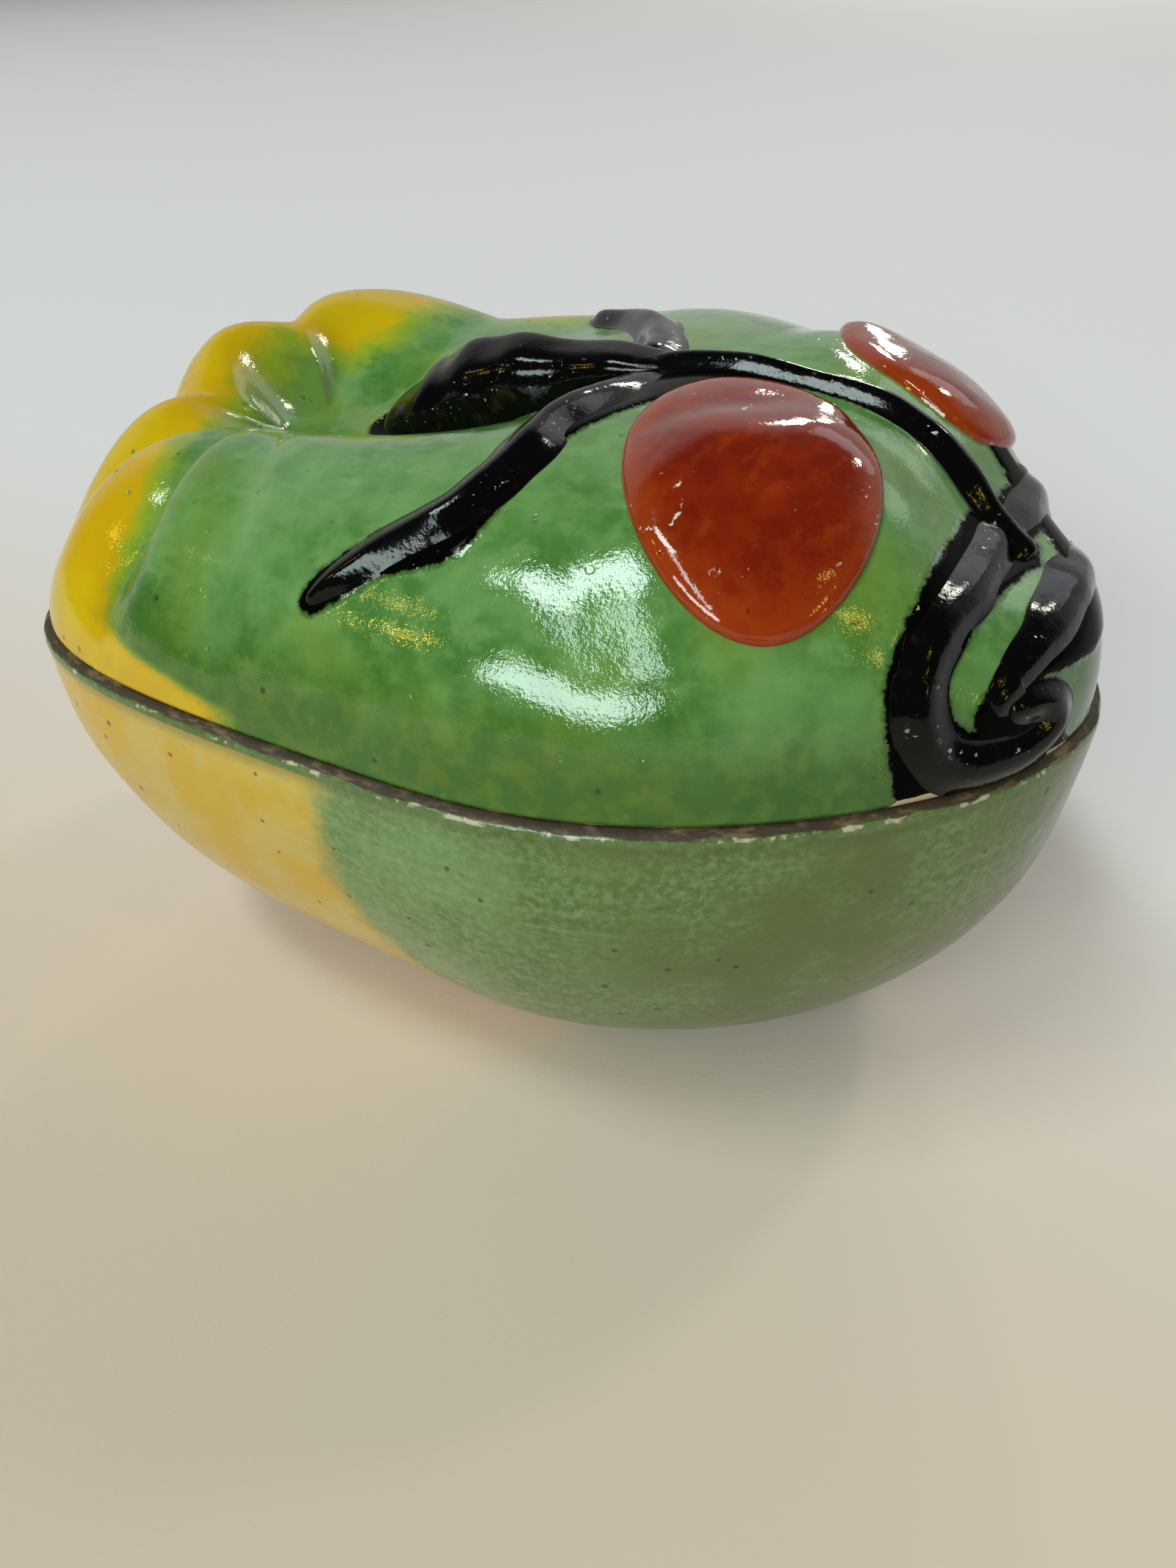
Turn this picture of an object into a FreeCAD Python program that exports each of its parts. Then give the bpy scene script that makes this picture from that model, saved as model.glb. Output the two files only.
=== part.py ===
import FreeCAD, Part
import math
import os
from FreeCAD import Vector

# A covered box in the form of a ribbed gourd lying on its side: a boat-shaped bowl and a
# lift-off lid that carries a twig handle, two berries and two scrolls in raised clay.
# Millimetres. X runs along the gourd, nose at +X, lobed end at -X. Z is up, the table is z = 0.
# A "station" is a distance along X as a share of half the length, an "offset" is a distance
# along Y as a share of half the width, and a "run" lists the points a strip of clay passes.

# --- whole form -------------------------------------------------------------------------
length = 128.0            # rim, end to end
width = 94.4              # rim, side to side at the widest section
rim_height = 50.0         # table to the joint between bowl and lid
widest_x = -2.2           # place of the widest section, from mid-length
nose_fullness = 1.85      # plan exponent at the nose, 2 is an ellipse
end_fullness = 3.74       # plan exponent at the lobed end, higher is blunter
end_skew = -0.69          # how much the back corner is rounder than the front corner

# --- bowl -------------------------------------------------------------------------------
bowl_wall = 4.0
bowl_floor = 5.0
foot_trim = 3.7           # how much of the round belly is flattened away to stand on
belly_fullness = 2.2      # profile exponent of the bowl, 2 is round
belly_end_fullness = 0.23 # extra fullness at the lobed end
belly_lean = 0.115        # share by which the belly is deeper at the nose
belly_shift = 1.66        # how far the lowest point lies towards the nose

# --- lid --------------------------------------------------------------------------------
lid_height = 29.7         # crown above the joint, before hollows and lobes
lid_inset = 1.0           # lid edge stands in from the bowl edge, showing the bare ledge
lid_wall = 4.2
lid_roundness = 2.6       # profile exponent at the nose
end_squareness = 2.21     # extra profile exponent at the lobed end
back_squareness = 3.08    # further change of it between front side and back side
end_lift = 1.1            # rise of the crown towards the lobed end
side_roll = 3.07          # how much higher the front shoulder stands than the middle

flange_drop = 3.5         # locating flange, below the joint
flange_wall = 2.2
flange_gap = 0.5          # clearance between flange and bowl wall, all round

# --- relief of the lid, places as stations and offsets, depths as shares of lid_height ----
roll_start = 0.156        # the crown is level from here to the nose
hollow_station = -0.564   # pit that the lobes run in to
hollow_depth = 0.488
hollow_width = 0.392
hollow_start = -0.88      # crest of the middle lobe
hollow_lip = 0.234        # length over which the middle lobe falls into the hollow
hollow_fade_start = -0.43
hollow_fade = 0.80        # length over which the hollow runs out under the handle
lobe_half = 31.7          # half angle of the middle lobe about the pit, degrees
front_lobe = 27.3         # angle of each further lobe on the front side
back_lobe = 59.5          # the same on the back side
lobe_depth = 0.153
lobe_soft = 0.02          # rounding of the creases
lobe_reach = 86.0         # angle at which the lobes start to fade
saddle_depth = 0.139      # dip in the back shoulder
saddle_station = -0.281
saddle_offset = 0.636
nose_dip = 0.202          # hollow between the crown and the nose
nose_dip_station = 0.813
nose_dip_length = 0.111
ridge_rise = 0.027        # slight ridge under the stem before the nose
ridge_station = 0.5625

# --- applied clay -----------------------------------------------------------------------
seat = 0.9                # depth to which applied clay is pressed into the lid
joint_gap = 0.3           # applied clay stops this far above the joint
nib = 0.3                 # size of a strip's blunt end against its full section

berry_rise = 1.9
berry_boss = 2.0          # swelling of the lid under each berry
berry_long = 19.0         # half axes of a berry, measured along the lid
berry_short = 12.4
berry_turn = -62.0        # bearing of the long axis, degrees
berry_roll = 3.5          # squareness of the rolled edge, 2 is a half round
front_berry_station = 0.457
front_berry_offset = -0.355
back_berry_station = 0.54
back_berry_offset = 0.545
back_berry_share = 0.93   # size of the back berry against the front one
boss_station = 0.547
boss_offset = 0.487

stem_half = 1.5
stem_rise = 1.7
stem_run = ((0.078, 0.10), (0.258, 0.12), (0.414, 0.11), (0.55, 0.095), (0.66, 0.065), (0.75, 0.035), (0.84, 0.01))

handle_half = 5.2
handle_rise = 9.5
handle_squareness = 4.0   # section of the handle, 2 is round
handle_sides = 20         # points round its section
handle_run = ((-0.46, 0.075), (-0.31, 0.085), (-0.155, 0.095), (0.0, 0.10), (0.17, 0.115))

twig_half = 2.6
twig_rise = 2.2
front_twig_run = ((0.14, 0.10), (0.116, -0.10), (0.10, -0.30), (0.11, -0.50), (0.075, -0.65), (-0.015, -0.765),
                  (-0.11, -0.865))
back_twig_run = ((0.11, 0.13), (0.06, 0.30), (-0.01, 0.47), (-0.115, 0.62), (-0.25, 0.74))

# the nose clay is laid out by bearing round the lid and angle up the lid, in degrees
scroll_half = 2.5
scroll_rise = 1.5
scroll_run = ((1.5, 43.0), (-9.5, 39.5), (-19.2, 32.0), (-23.8, 24.0), (-24.4, 14.5), (-21.0, 6.6), (-14.0, 4.6),
              (-9.6, 9.0), (-11.4, 14.4), (-15.4, 15.6))
band_half = 3.4
band_end_half = 2.0
band_run = ((-17.2, 16.8), (-12.5, 22.5), (-7.0, 26.0), (0.0, 28.5), (7.0, 26.0), (12.5, 22.5), (17.2, 16.8))

half_length = length / 2.0
half_width = width / 2.0


def smooth(t):
    t = min(max(t, 0.0), 1.0)
    return t * t * (3.0 - 2.0 * t)


def bump(t):
    return math.exp(-t * t)


def lean(theta):
    # 0 at the nose, 1 at the lobed end
    return (1.0 - math.cos(theta)) / 2.0


def rim_radius(theta, inset=0.0):
    c, s = math.cos(theta), math.sin(theta)
    half = half_length - widest_x if c > 0 else half_length + widest_x
    n = nose_fullness + (end_fullness - nose_fullness + end_skew * s) * lean(theta) ** 1.5
    across = abs(c / (half - inset)) ** n + abs(s / (half_width - inset)) ** n
    return across ** (-1.0 / n)


def profile(alpha, n):
    # point on a unit superellipse: distance out, height
    c, s = math.cos(alpha), math.sin(alpha)
    r = (abs(c) ** n + abs(s) ** n) ** (-1.0 / n)
    return r * c, r * s


def hollow(u, v):
    rise_in = smooth((u - hollow_start) / hollow_lip)
    run_out = (1.0 - smooth((u - hollow_fade_start) / hollow_fade)) ** 1.3
    return hollow_depth * rise_in * run_out * bump(v / hollow_width)


def crown(x, y):
    # height of the lid's form over the joint at mid-section, with its hollows and swellings
    u, v = x / half_length, y / half_width
    share = 1.0 - hollow(u, v)
    share -= nose_dip * bump((u - nose_dip_station) / nose_dip_length) * bump(v / 0.424)
    share += ridge_rise * bump((u - ridge_station) / 0.156) * bump(v / 0.339)
    share -= saddle_depth * bump((u - saddle_station) / 0.25) * bump((v - saddle_offset) / 0.297)
    z = lid_height * share
    z += end_lift * min(max((roll_start - u) / 1.047, 0.0), 1.2) ** 2
    z -= side_roll * v * smooth((roll_start - u) / 0.781)
    boss = math.hypot(x - boss_station * half_length, abs(y) - boss_offset * half_width)
    z += berry_boss * (1.0 - smooth(2.0 * boss / (berry_long + 1.0) - 1.0))
    return z


def crease(x, y):
    # 0 on a lobe's back, down to -1 in the crease between two lobes
    pit = hollow_station * half_length
    bearing = math.degrees(math.atan2(abs(y), pit - x))
    back = smooth(0.5 + 1.18 * y / half_width)
    pitch = front_lobe * (1.0 - back) + back_lobe * back
    if bearing < lobe_half:
        s = math.cos(math.pi / 2.0 * bearing / lobe_half)
    else:
        s = math.sin(math.pi * (bearing - lobe_half) / pitch)
    rib = math.sqrt(s * s + lobe_soft) - math.sqrt(lobe_soft)
    fade = 1.0 - smooth((bearing - lobe_reach - 10.0 * back) / 40.0)
    near = smooth(math.hypot((x - pit) / half_length, y / half_width) * 4.8 - 0.33)
    return (rib - 1.0) * fade * near


def lid_point(theta, alpha, side=0.0, skin=0.0):
    # side and skin are how far inside the outer face the point lies, at the edge and on top
    back = math.tanh(math.sin(theta) / 0.35)
    n = lid_roundness + (end_squareness + back_squareness * back) * lean(theta) ** 0.93
    out, up = profile(alpha, max(n, 1.6))
    r = rim_radius(theta, lid_inset + side) * out
    x = widest_x + r * math.cos(theta)
    y = r * math.sin(theta)
    h = (crown(x, y) - skin) * up
    rib = crease(x, y) * smooth(alpha / math.radians(30.0))
    if skin > 0.0:
        rib *= 0.8
    k = 1.0 + rib * lobe_depth * lid_height / math.hypot(r, h)
    return Vector(widest_x + r * k * math.cos(theta), r * k * math.sin(theta), rim_height + h * k)


def bowl_point(theta, alpha, skin=0.0, floor=0.0):
    out, down = profile(alpha, belly_fullness + belly_end_fullness * lean(theta) ** 2)
    r = rim_radius(theta, skin) * out
    x = widest_x + r * math.cos(theta)
    depth = (rim_height + foot_trim - floor) * down * (1.0 + belly_lean * x / half_length)
    return Vector(x + belly_shift * math.sin(alpha) ** 2, r * math.sin(theta), rim_height - depth)


def skin_face(rows):
    # one smooth face through closed rings, round and round in u, from end to end in v
    n, m = len(rows[0]), len(rows)
    poles = [[rows[j][i] for j in range(m)] for i in range(n)]
    v_knots = [float(k) for k in range(m - 2)]
    v_mults = [4] + [1] * (m - 4) + [4]
    face = Part.BSplineSurface()
    face.buildFromPolesMultsKnots(poles, [1] * (n + 1), v_mults, [float(k) for k in range(n + 1)],
                                  v_knots, True, False, 3, 3)
    return face.toShape()


def solid_of(faces):
    shell = Part.Shell(faces)
    if len(faces) > 1:
        joined = Part.Compound(faces)
        joined.sewShape()
        shell = joined.Shells[0]
    body = Part.Solid(shell)
    body.fix(1e-4, 1e-4, 1e-4)
    if body.Volume < 0:
        body.reverse()
    return body


def closed_dome(point, rows, columns=96):
    # half shell through point(bearing, rise), shut by a flat face at the joint
    rings = []
    for j in range(rows):
        alpha = math.pi / 2.0 * j / (rows - 1)
        rings.append([point(2.0 * math.pi * i / columns, alpha) for i in range(columns)])
    rings[-1] = [rings[-1][0]] * columns
    face = skin_face(rings)
    level = [e for e in face.Edges
             if abs(e.BoundBox.ZMax - rim_height) < 1e-6 and abs(e.BoundBox.ZMin - rim_height) < 1e-6]
    return solid_of([face, Part.Face(Part.Wire(level[:1]))])


def rim_band(inset, low, high, columns=96):
    # prism over the rim outline, standing in by inset
    poles = []
    for i in range(columns):
        t = 2.0 * math.pi * i / columns
        r = rim_radius(t, inset)
        poles.append(Vector(widest_x + r * math.cos(t), r * math.sin(t), low))
    knots = [float(k) for k in range(columns + 1)]
    curve = Part.BSplineCurve()
    curve.buildFromPolesMultsKnots(poles, [1] * (columns + 1), knots, True, 3)
    return Part.Face(Part.Wire(curve.toShape())).extrude(Vector(0, 0, high - low))


def slab(low, high):
    # everything between two levels
    return Part.makeBox(4 * length, 4 * width, high - low, Vector(-2 * length, -2 * width, low))


# --- bowl -------------------------------------------------------------------------------
outer = closed_dome(lambda t, a: bowl_point(t, a), 26)
inner = closed_dome(lambda t, a: bowl_point(t, a, bowl_wall, bowl_floor + foot_trim), 26)
base_bowl = outer.cut(slab(-rim_height, 0.0)).cut(inner)

# --- lid --------------------------------------------------------------------------------
flange_out = bowl_wall + flange_gap
flange_in = flange_out + flange_wall
lid_outer = closed_dome(lambda t, a: lid_point(t, a), 34)
lid_inner = closed_dome(lambda t, a: lid_point(t, a, flange_in - lid_inset, lid_wall), 34)
lid_shell = lid_outer.fuse(rim_band(flange_out, rim_height - flange_drop, rim_height))
lid_shell = lid_shell.cut(lid_inner).cut(rim_band(flange_in, rim_height - flange_drop, rim_height))


# --- laying clay on the lid -------------------------------------------------------------
def on_lid(x, y):
    # bearing and rise at which the lid lies over a point of the plan
    theta = math.atan2(y, x - widest_x)
    want = math.hypot(x - widest_x, y)
    low, high = 0.0, math.pi / 2.0
    for _ in range(40):
        mid = (low + high) / 2.0
        p = lid_point(theta, mid)
        if math.hypot(p.x - widest_x, p.y) > want:
            low = mid
        else:
            high = mid
    return theta, (low + high) / 2.0


def over_plan(station, offset):
    # point of the lid over a place in the plan, and the outward normal there
    x, y = station * half_length, offset * half_width
    step = 0.4
    p = lid_point(*on_lid(x, y))
    along = lid_point(*on_lid(x + step, y)) - lid_point(*on_lid(x - step, y))
    across = lid_point(*on_lid(x, y + step)) - lid_point(*on_lid(x, y - step))
    return p, along.cross(across).normalize()


def at_angles(bearing, rise):
    # point of the lid at a bearing and rise in degrees, and the outward normal there
    t, a = math.radians(bearing), math.radians(rise)
    step = 0.01
    around = lid_point(t + step, a) - lid_point(t - step, a)
    upward = lid_point(t, a + step) - lid_point(t, a - step)
    return lid_point(t, a), around.cross(upward).normalize()


def beside(spot, normal, along, across, u, v):
    # point of the lid that lies u along and v across from a spot, measured in its tangent plane
    x, y = (spot + along * u + across * v).x, (spot + along * u + across * v).y
    scale = normal.z
    for _ in range(12):
        p = lid_point(*on_lid(x, y))
        miss = along * (u - (p - spot).dot(along)) + across * (v - (p - spot).dot(across))
        x += miss.x * scale
        y += miss.y * scale
    return p


def ends(t, share):
    # small blunt nib at an end of a strip, full size from the given share of its length inwards
    u = min(t / share, (1.0 - t) / share, 1.0)
    return nib + (1.0 - nib) * math.sqrt(max(1.0 - (1.0 - u) ** 2, 0.0))


def strip(run, place, half, rise, stations, end, squareness=2.0, sides=14):
    # rounded strip of clay along the lid; half and rise give its section at a share of its run
    path = Part.BSplineCurve()
    path.interpolate([Vector(a, b, 0) for a, b in run])
    first, last = path.FirstParameter, path.LastParameter
    spots = []
    for i in range(stations + 1):
        q = path.value(first + (last - first) * i / stations)
        spots.append(place(q.x, q.y))
    rings = []
    for i in range(stations + 1):
        heading = spots[min(i + 1, stations)][0] - spots[max(i - 1, 0)][0]
        p, normal = spots[i]
        side = normal.cross(heading).normalize()
        t = i / stations
        body = ends(t, end)
        ring = []
        for k in range(sides):
            out, up = profile(2.0 * math.pi * k / sides, squareness)
            lift = rise(t) if up > 0 else seat
            ring.append(p + side * (half(t) * body * out) + normal * (lift * body * up))
        rings.append(ring)
    face = skin_face(rings)
    return solid_of([face] + [Part.Face(Part.Wire([e])) for e in face.Edges if e.isClosed()])


def disc(station, offset, size, columns=28, rows=12):
    # domed disc of clay with a rolled edge
    spot, normal = over_plan(station, offset)
    turn = math.radians(berry_turn)
    along = Vector(math.cos(turn), math.sin(turn), 0)
    along = (along - normal * along.dot(normal)).normalize()
    across = normal.cross(along)
    rings = []
    for j in range(rows + 1):
        out, up = profile(math.pi * (j / rows - 0.5), berry_roll)
        ring = []
        for k in range(columns):
            angle = 2.0 * math.pi * k / columns
            u = berry_long * size * out * math.cos(angle)
            v = berry_short * size * out * math.sin(angle)
            p = beside(spot, normal, along, across, u, v)
            ring.append(p + normal * (up * (berry_rise if up > 0 else seat)))
        rings.append(ring)
    return solid_of([skin_face(rings)])


def clear_of_joint(shape):
    return shape.cut(slab(-rim_height, rim_height + joint_gap))


berry_front = clear_of_joint(disc(front_berry_station, front_berry_offset, 1.0))
berry_back = clear_of_joint(disc(back_berry_station, back_berry_offset, back_berry_share))

main_stem = strip(stem_run, over_plan,
                  lambda t: stem_half * (1.5 - 0.5 * smooth(2.5 * t) + 0.5 * t * t),
                  lambda t: stem_rise, 34, 0.06)
handle = strip(handle_run, over_plan,
               lambda t: handle_half * (1.0 - 0.45 * smooth((t - 0.4) / 0.6)),
               lambda t: handle_rise * (0.55 + 0.45 * smooth(t / 0.35)) * (1.0 - 0.8 * smooth((t - 0.45) / 0.55)),
               30, 0.12, handle_squareness, handle_sides)

twig_front = strip(front_twig_run, over_plan, lambda t: twig_half * (1.2 - 0.5 * t),
                   lambda t: twig_rise * (1.0 - 0.3 * t), 34, 0.08)
twig_back = strip(back_twig_run, over_plan, lambda t: twig_half * (1.15 - 0.55 * t),
                  lambda t: twig_rise * (1.0 - 0.3 * t), 32, 0.08)

scrolls = []
for hand in (1.0, -1.0):
    run = [(hand * a, b) for a, b in scroll_run]
    loop = strip(run, at_angles, lambda t: scroll_half * (1.0 - 0.3 * smooth((t - 0.8) / 0.2)),
                 lambda t: scroll_rise, 64, 0.05)
    scrolls.append(clear_of_joint(loop))
scroll_front, scroll_back = scrolls

nose_band = strip(band_run, at_angles,
                  lambda t: band_end_half + (band_half - band_end_half) * math.sin(math.pi * t) ** 2,
                  lambda t: scroll_rise, 36, 0.1)

# --- pieces -----------------------------------------------------------------------------
pieces = {
    "base_bowl": base_bowl,
    "lid_shell": lid_shell,
    "handle": handle,
    "main_stem": main_stem,
    "twig_front": twig_front,
    "twig_back": twig_back,
    "scroll_front": scroll_front,
    "scroll_back": scroll_back,
    "nose_band": nose_band,
    "berry_front": berry_front,
    "berry_back": berry_back,
}
os.makedirs("parts", exist_ok=True)
for name, shape in pieces.items():
    solid = shape.Solids[0] if len(shape.Solids) == 1 else shape
    solid.exportStep("parts/" + name + ".step")
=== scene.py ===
"""Looks of a hand-painted glazed earthenware box in the form of a ribbed gourd lying down.

The bowl and the lift-off lid are thrown and modelled skins, the twig, scrolls and berries are
raised clay laid on the lid. Everything is built in millimetres and set down in metres.
"""

import logging
import math
from dataclasses import dataclass
from enum import Enum
from typing import Callable

import bpy
import numpy as np
from mathutils import Matrix, Vector


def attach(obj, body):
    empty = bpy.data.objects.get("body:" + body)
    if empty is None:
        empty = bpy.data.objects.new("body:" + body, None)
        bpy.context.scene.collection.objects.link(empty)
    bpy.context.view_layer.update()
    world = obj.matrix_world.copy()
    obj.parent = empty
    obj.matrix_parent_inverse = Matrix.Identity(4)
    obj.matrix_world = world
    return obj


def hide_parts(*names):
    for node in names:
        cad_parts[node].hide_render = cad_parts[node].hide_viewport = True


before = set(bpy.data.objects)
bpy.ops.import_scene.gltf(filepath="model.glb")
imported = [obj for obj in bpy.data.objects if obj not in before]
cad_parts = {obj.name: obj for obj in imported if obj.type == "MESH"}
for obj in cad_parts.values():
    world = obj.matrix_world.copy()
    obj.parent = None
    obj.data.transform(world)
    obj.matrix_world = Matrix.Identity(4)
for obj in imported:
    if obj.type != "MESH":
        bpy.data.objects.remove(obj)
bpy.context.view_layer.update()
LOG = logging.getLogger("gourd_box")
MM = 0.001
Run = tuple[tuple[float, float], ...]
Colour = tuple[float, float, float]


class Laying(Enum):
    """How a run of clay is laid out on the lid."""

    PLAN = "stations and offsets seen from above"
    ANGLES = "bearing round the lid and rise up the lid, in degrees"


def smooth(t: np.ndarray | float) -> np.ndarray:
    """Ease from 0 to 1 with level ends."""
    t = np.clip(t, 0.0, 1.0)
    return t * t * (3.0 - 2.0 * t)


def bump(t: np.ndarray) -> np.ndarray:
    """Bell curve of height 1."""
    return np.exp(-t * t)


def superellipse(alpha: np.ndarray, n: np.ndarray | float) -> tuple[np.ndarray, np.ndarray]:
    """Point on a unit superellipse.

    Args:
        alpha: angle above the horizontal, radians.
        n: exponent, 2 is a circle.

    Returns:
        Distance out and height.
    """
    c, s = np.cos(alpha), np.sin(alpha)
    r = (np.abs(c) ** n + np.abs(s) ** n) ** (-1.0 / n)
    return r * c, r * s


def unit(v: np.ndarray) -> np.ndarray:
    """Vectors of length 1."""
    return v / np.maximum(np.linalg.norm(v, axis=-1, keepdims=True), 1e-9)


def through(stops: np.ndarray, count: int, closed: bool = False) -> np.ndarray:
    """Even points on a smooth curve through some stops.

    Args:
        stops: the points passed, one a row.
        count: how many points to give.
        closed: the curve runs on from the last stop to the first.

    Returns:
        The points, one a row.
    """
    stops = np.concatenate([stops[-2:], stops, stops[:3]]) if closed else stops
    gaps = np.linalg.norm(np.diff(stops, axis=0), axis=1) ** 0.5
    knots = np.concatenate([[0.0], np.cumsum(gaps)])
    slopes = np.gradient(stops, knots, axis=0)
    first, last = (knots[2], knots[-3]) if closed else (0.0, knots[-1])
    t = np.linspace(first, last, count)
    i = np.clip(np.searchsorted(knots, t) - 1, 0, len(gaps) - 1)
    h = gaps[i][:, None]
    u = ((t - knots[i]) / gaps[i])[:, None]
    start, end = stops[i], stops[i + 1]
    return (
        start * (1 - u) ** 2 * (1 + 2 * u)
        + end * u**2 * (3 - 2 * u)
        + slopes[i] * h * u * (1 - u) ** 2
        - slopes[i + 1] * h * u**2 * (1 - u)
    )


def ripple(p: np.ndarray, size: float, seed: int, waves: int = 14) -> np.ndarray:
    """Gentle hand-made unevenness, between about -1 and 1.

    Args:
        p: points, mm, in the last axis.
        size: rough distance between swellings, mm.
        seed: picks the pattern.
        waves: how many directions are mixed.

    Returns:
        One value for each point.
    """
    rng = np.random.default_rng(seed)
    total = np.zeros(p.shape[:-1])
    for _ in range(waves):
        way = unit(rng.normal(size=3)) * 2.0 * math.pi / (size * rng.uniform(0.7, 1.6))
        total += np.sin(p @ way + rng.uniform(0.0, 2.0 * math.pi))
    return total / math.sqrt(waves)


def nearest(points: np.ndarray, line: np.ndarray, half: np.ndarray) -> np.ndarray:
    """Distance from points to the edge of a strip.

    Args:
        points: N by 3, mm.
        line: points along the strip's middle, mm.
        half: half width at each of them.

    Returns:
        Distance outside the strip, negative inside it.
    """
    best = np.full(len(points), 99.0, np.float32)
    low, high = line.min(0) - 12.0, line.max(0) + 12.0
    near = np.all((points > low) & (points < high), axis=1)
    close = points[near].astype(np.float32)
    found = np.full(len(close), 99.0, np.float32)
    for spot, wide in zip(line.astype(np.float32), half.astype(np.float32)):
        gap = close - spot
        found = np.minimum(found, np.sqrt((gap * gap).sum(1)) - wide)
    best[near] = found
    return best


@dataclass(frozen=True)
class GourdForm:
    """Sizes of the whole form, mm, and the curves that give its skins."""

    length: float = 128.0
    width: float = 94.4
    rim_height: float = 50.0
    widest_x: float = -2.2
    nose_fullness: float = 1.85
    end_fullness: float = 3.74
    end_skew: float = -0.69
    foot_trim: float = 3.7
    belly_fullness: float = 2.2
    belly_end_fullness: float = 0.23
    belly_lean: float = 0.115
    belly_shift: float = 1.66
    lid_height: float = 29.7
    lid_inset: float = 1.0
    lid_roundness: float = 2.6
    end_squareness: float = 2.21
    back_squareness: float = 3.08
    end_lift: float = 1.1
    side_roll: float = 3.07
    pit_station: float = -0.564
    lobe_depth: float = 0.153
    boss_rise: float = 2.0
    boss_reach: float = 20.0

    @property
    def half_length(self) -> float:
        """Half the length."""
        return self.length / 2.0

    @property
    def half_width(self) -> float:
        """Half the width."""
        return self.width / 2.0

    def lean(self, theta: np.ndarray) -> np.ndarray:
        """0 at the nose, 1 at the lobed end."""
        return (1.0 - np.cos(theta)) / 2.0

    def rim_radius(self, theta: np.ndarray, inset: float = 0.0) -> np.ndarray:
        """Distance of the rim from the form's axis.

        Args:
            theta: bearing, radians, 0 at the nose.
            inset: how far inside the rim.

        Returns:
            Radius, mm.
        """
        c, s = np.cos(theta), np.sin(theta)
        half = np.where(c > 0, self.half_length - self.widest_x, self.half_length + self.widest_x)
        spread = self.end_fullness - self.nose_fullness + self.end_skew * s
        n = self.nose_fullness + spread * self.lean(theta) ** 1.5
        across = np.abs(c / (half - inset)) ** n + np.abs(s / (self.half_width - inset)) ** n
        return across ** (-1.0 / n)

    def hollow(self, u: np.ndarray, v: np.ndarray) -> np.ndarray:
        """Depth of the pit that the lobes run in to, as a share of the lid's height.

        Args:
            u: place along the gourd in half lengths.
            v: place across it in half widths.

        Returns:
            The depth.
        """
        rise_in = smooth((u + 0.88) / 0.234)
        run_out = (1.0 - smooth((u + 0.43) / 0.80)) ** 1.3
        return 0.488 * rise_in * run_out * bump(v / 0.392)

    def crown(self, x: np.ndarray, y: np.ndarray) -> np.ndarray:
        """Height of the lid's form over the joint, with its hollows and swellings.

        Args:
            x: along the gourd, mm.
            y: across it.

        Returns:
            Heights, mm.
        """
        u, v = x / self.half_length, y / self.half_width
        share = 1.0 - self.hollow(u, v)
        share -= 0.202 * bump((u - 0.813) / 0.111) * bump(v / 0.424)
        share += 0.027 * bump((u - 0.5625) / 0.156) * bump(v / 0.339)
        share -= 0.139 * bump((u + 0.281) / 0.25) * bump((v - 0.636) / 0.297)
        z = self.lid_height * share
        z += self.end_lift * np.clip((0.156 - u) / 1.047, 0.0, 1.2) ** 2
        z -= self.side_roll * v * smooth((0.156 - u) / 0.781)
        boss = np.hypot(x - 0.547 * self.half_length, np.abs(y) - 0.487 * self.half_width)
        return z + self.boss_rise * (1.0 - smooth(2.0 * boss / self.boss_reach - 1.0))

    def crease(self, x: np.ndarray, y: np.ndarray) -> np.ndarray:
        """0 on the back of a lobe, down to -1 in the crease between two.

        Args:
            x: along the gourd, mm.
            y: across it.

        Returns:
            Values from -1 to 0.
        """
        pit = self.pit_station * self.half_length
        bearing = np.degrees(np.arctan2(np.abs(y), pit - x))
        back = smooth(0.5 + 1.18 * y / self.half_width)
        pitch = 27.3 * (1.0 - back) + 59.5 * back
        middle = np.cos(math.pi / 2.0 * bearing / 31.7)
        s = np.where(bearing < 31.7, middle, np.sin(math.pi * (bearing - 31.7) / pitch))
        rib = np.sqrt(s * s + 0.02) - math.sqrt(0.02)
        fade = 1.0 - smooth((bearing - 86.0 - 10.0 * back) / 40.0)
        near = smooth(np.hypot((x - pit) / self.half_length, y / self.half_width) * 4.8 - 0.33)
        return (rib - 1.0) * fade * near

    def lid(self, theta: np.ndarray, alpha: np.ndarray, side: float = 0.0, skin: float = 0.0) -> np.ndarray:
        """Point of the lid's skin.

        Args:
            theta: bearing, radians.
            alpha: rise up the lid, radians, 0 at the joint.
            side: how far inside the outer face at the edge.
            skin: how far inside it on top.

        Returns:
            Points, mm, in the last axis.
        """
        theta, alpha = np.broadcast_arrays(theta, alpha)
        back = np.tanh(np.sin(theta) / 0.35)
        squareness = self.end_squareness + self.back_squareness * back
        n = self.lid_roundness + squareness * self.lean(theta) ** 0.93
        out, up = superellipse(alpha, np.maximum(n, 1.6))
        r = self.rim_radius(theta, self.lid_inset + side) * out
        x, y = self.widest_x + r * np.cos(theta), r * np.sin(theta)
        h = (self.crown(x, y) - skin) * up
        rib = self.crease(x, y) * smooth(alpha / math.radians(30.0)) * (0.8 if skin > 0.0 else 1.0)
        k = 1.0 + rib * self.lobe_depth * self.lid_height / np.hypot(r, h)
        return np.stack(
            [self.widest_x + r * k * np.cos(theta), r * k * np.sin(theta), self.rim_height + h * k], -1
        )

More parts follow.
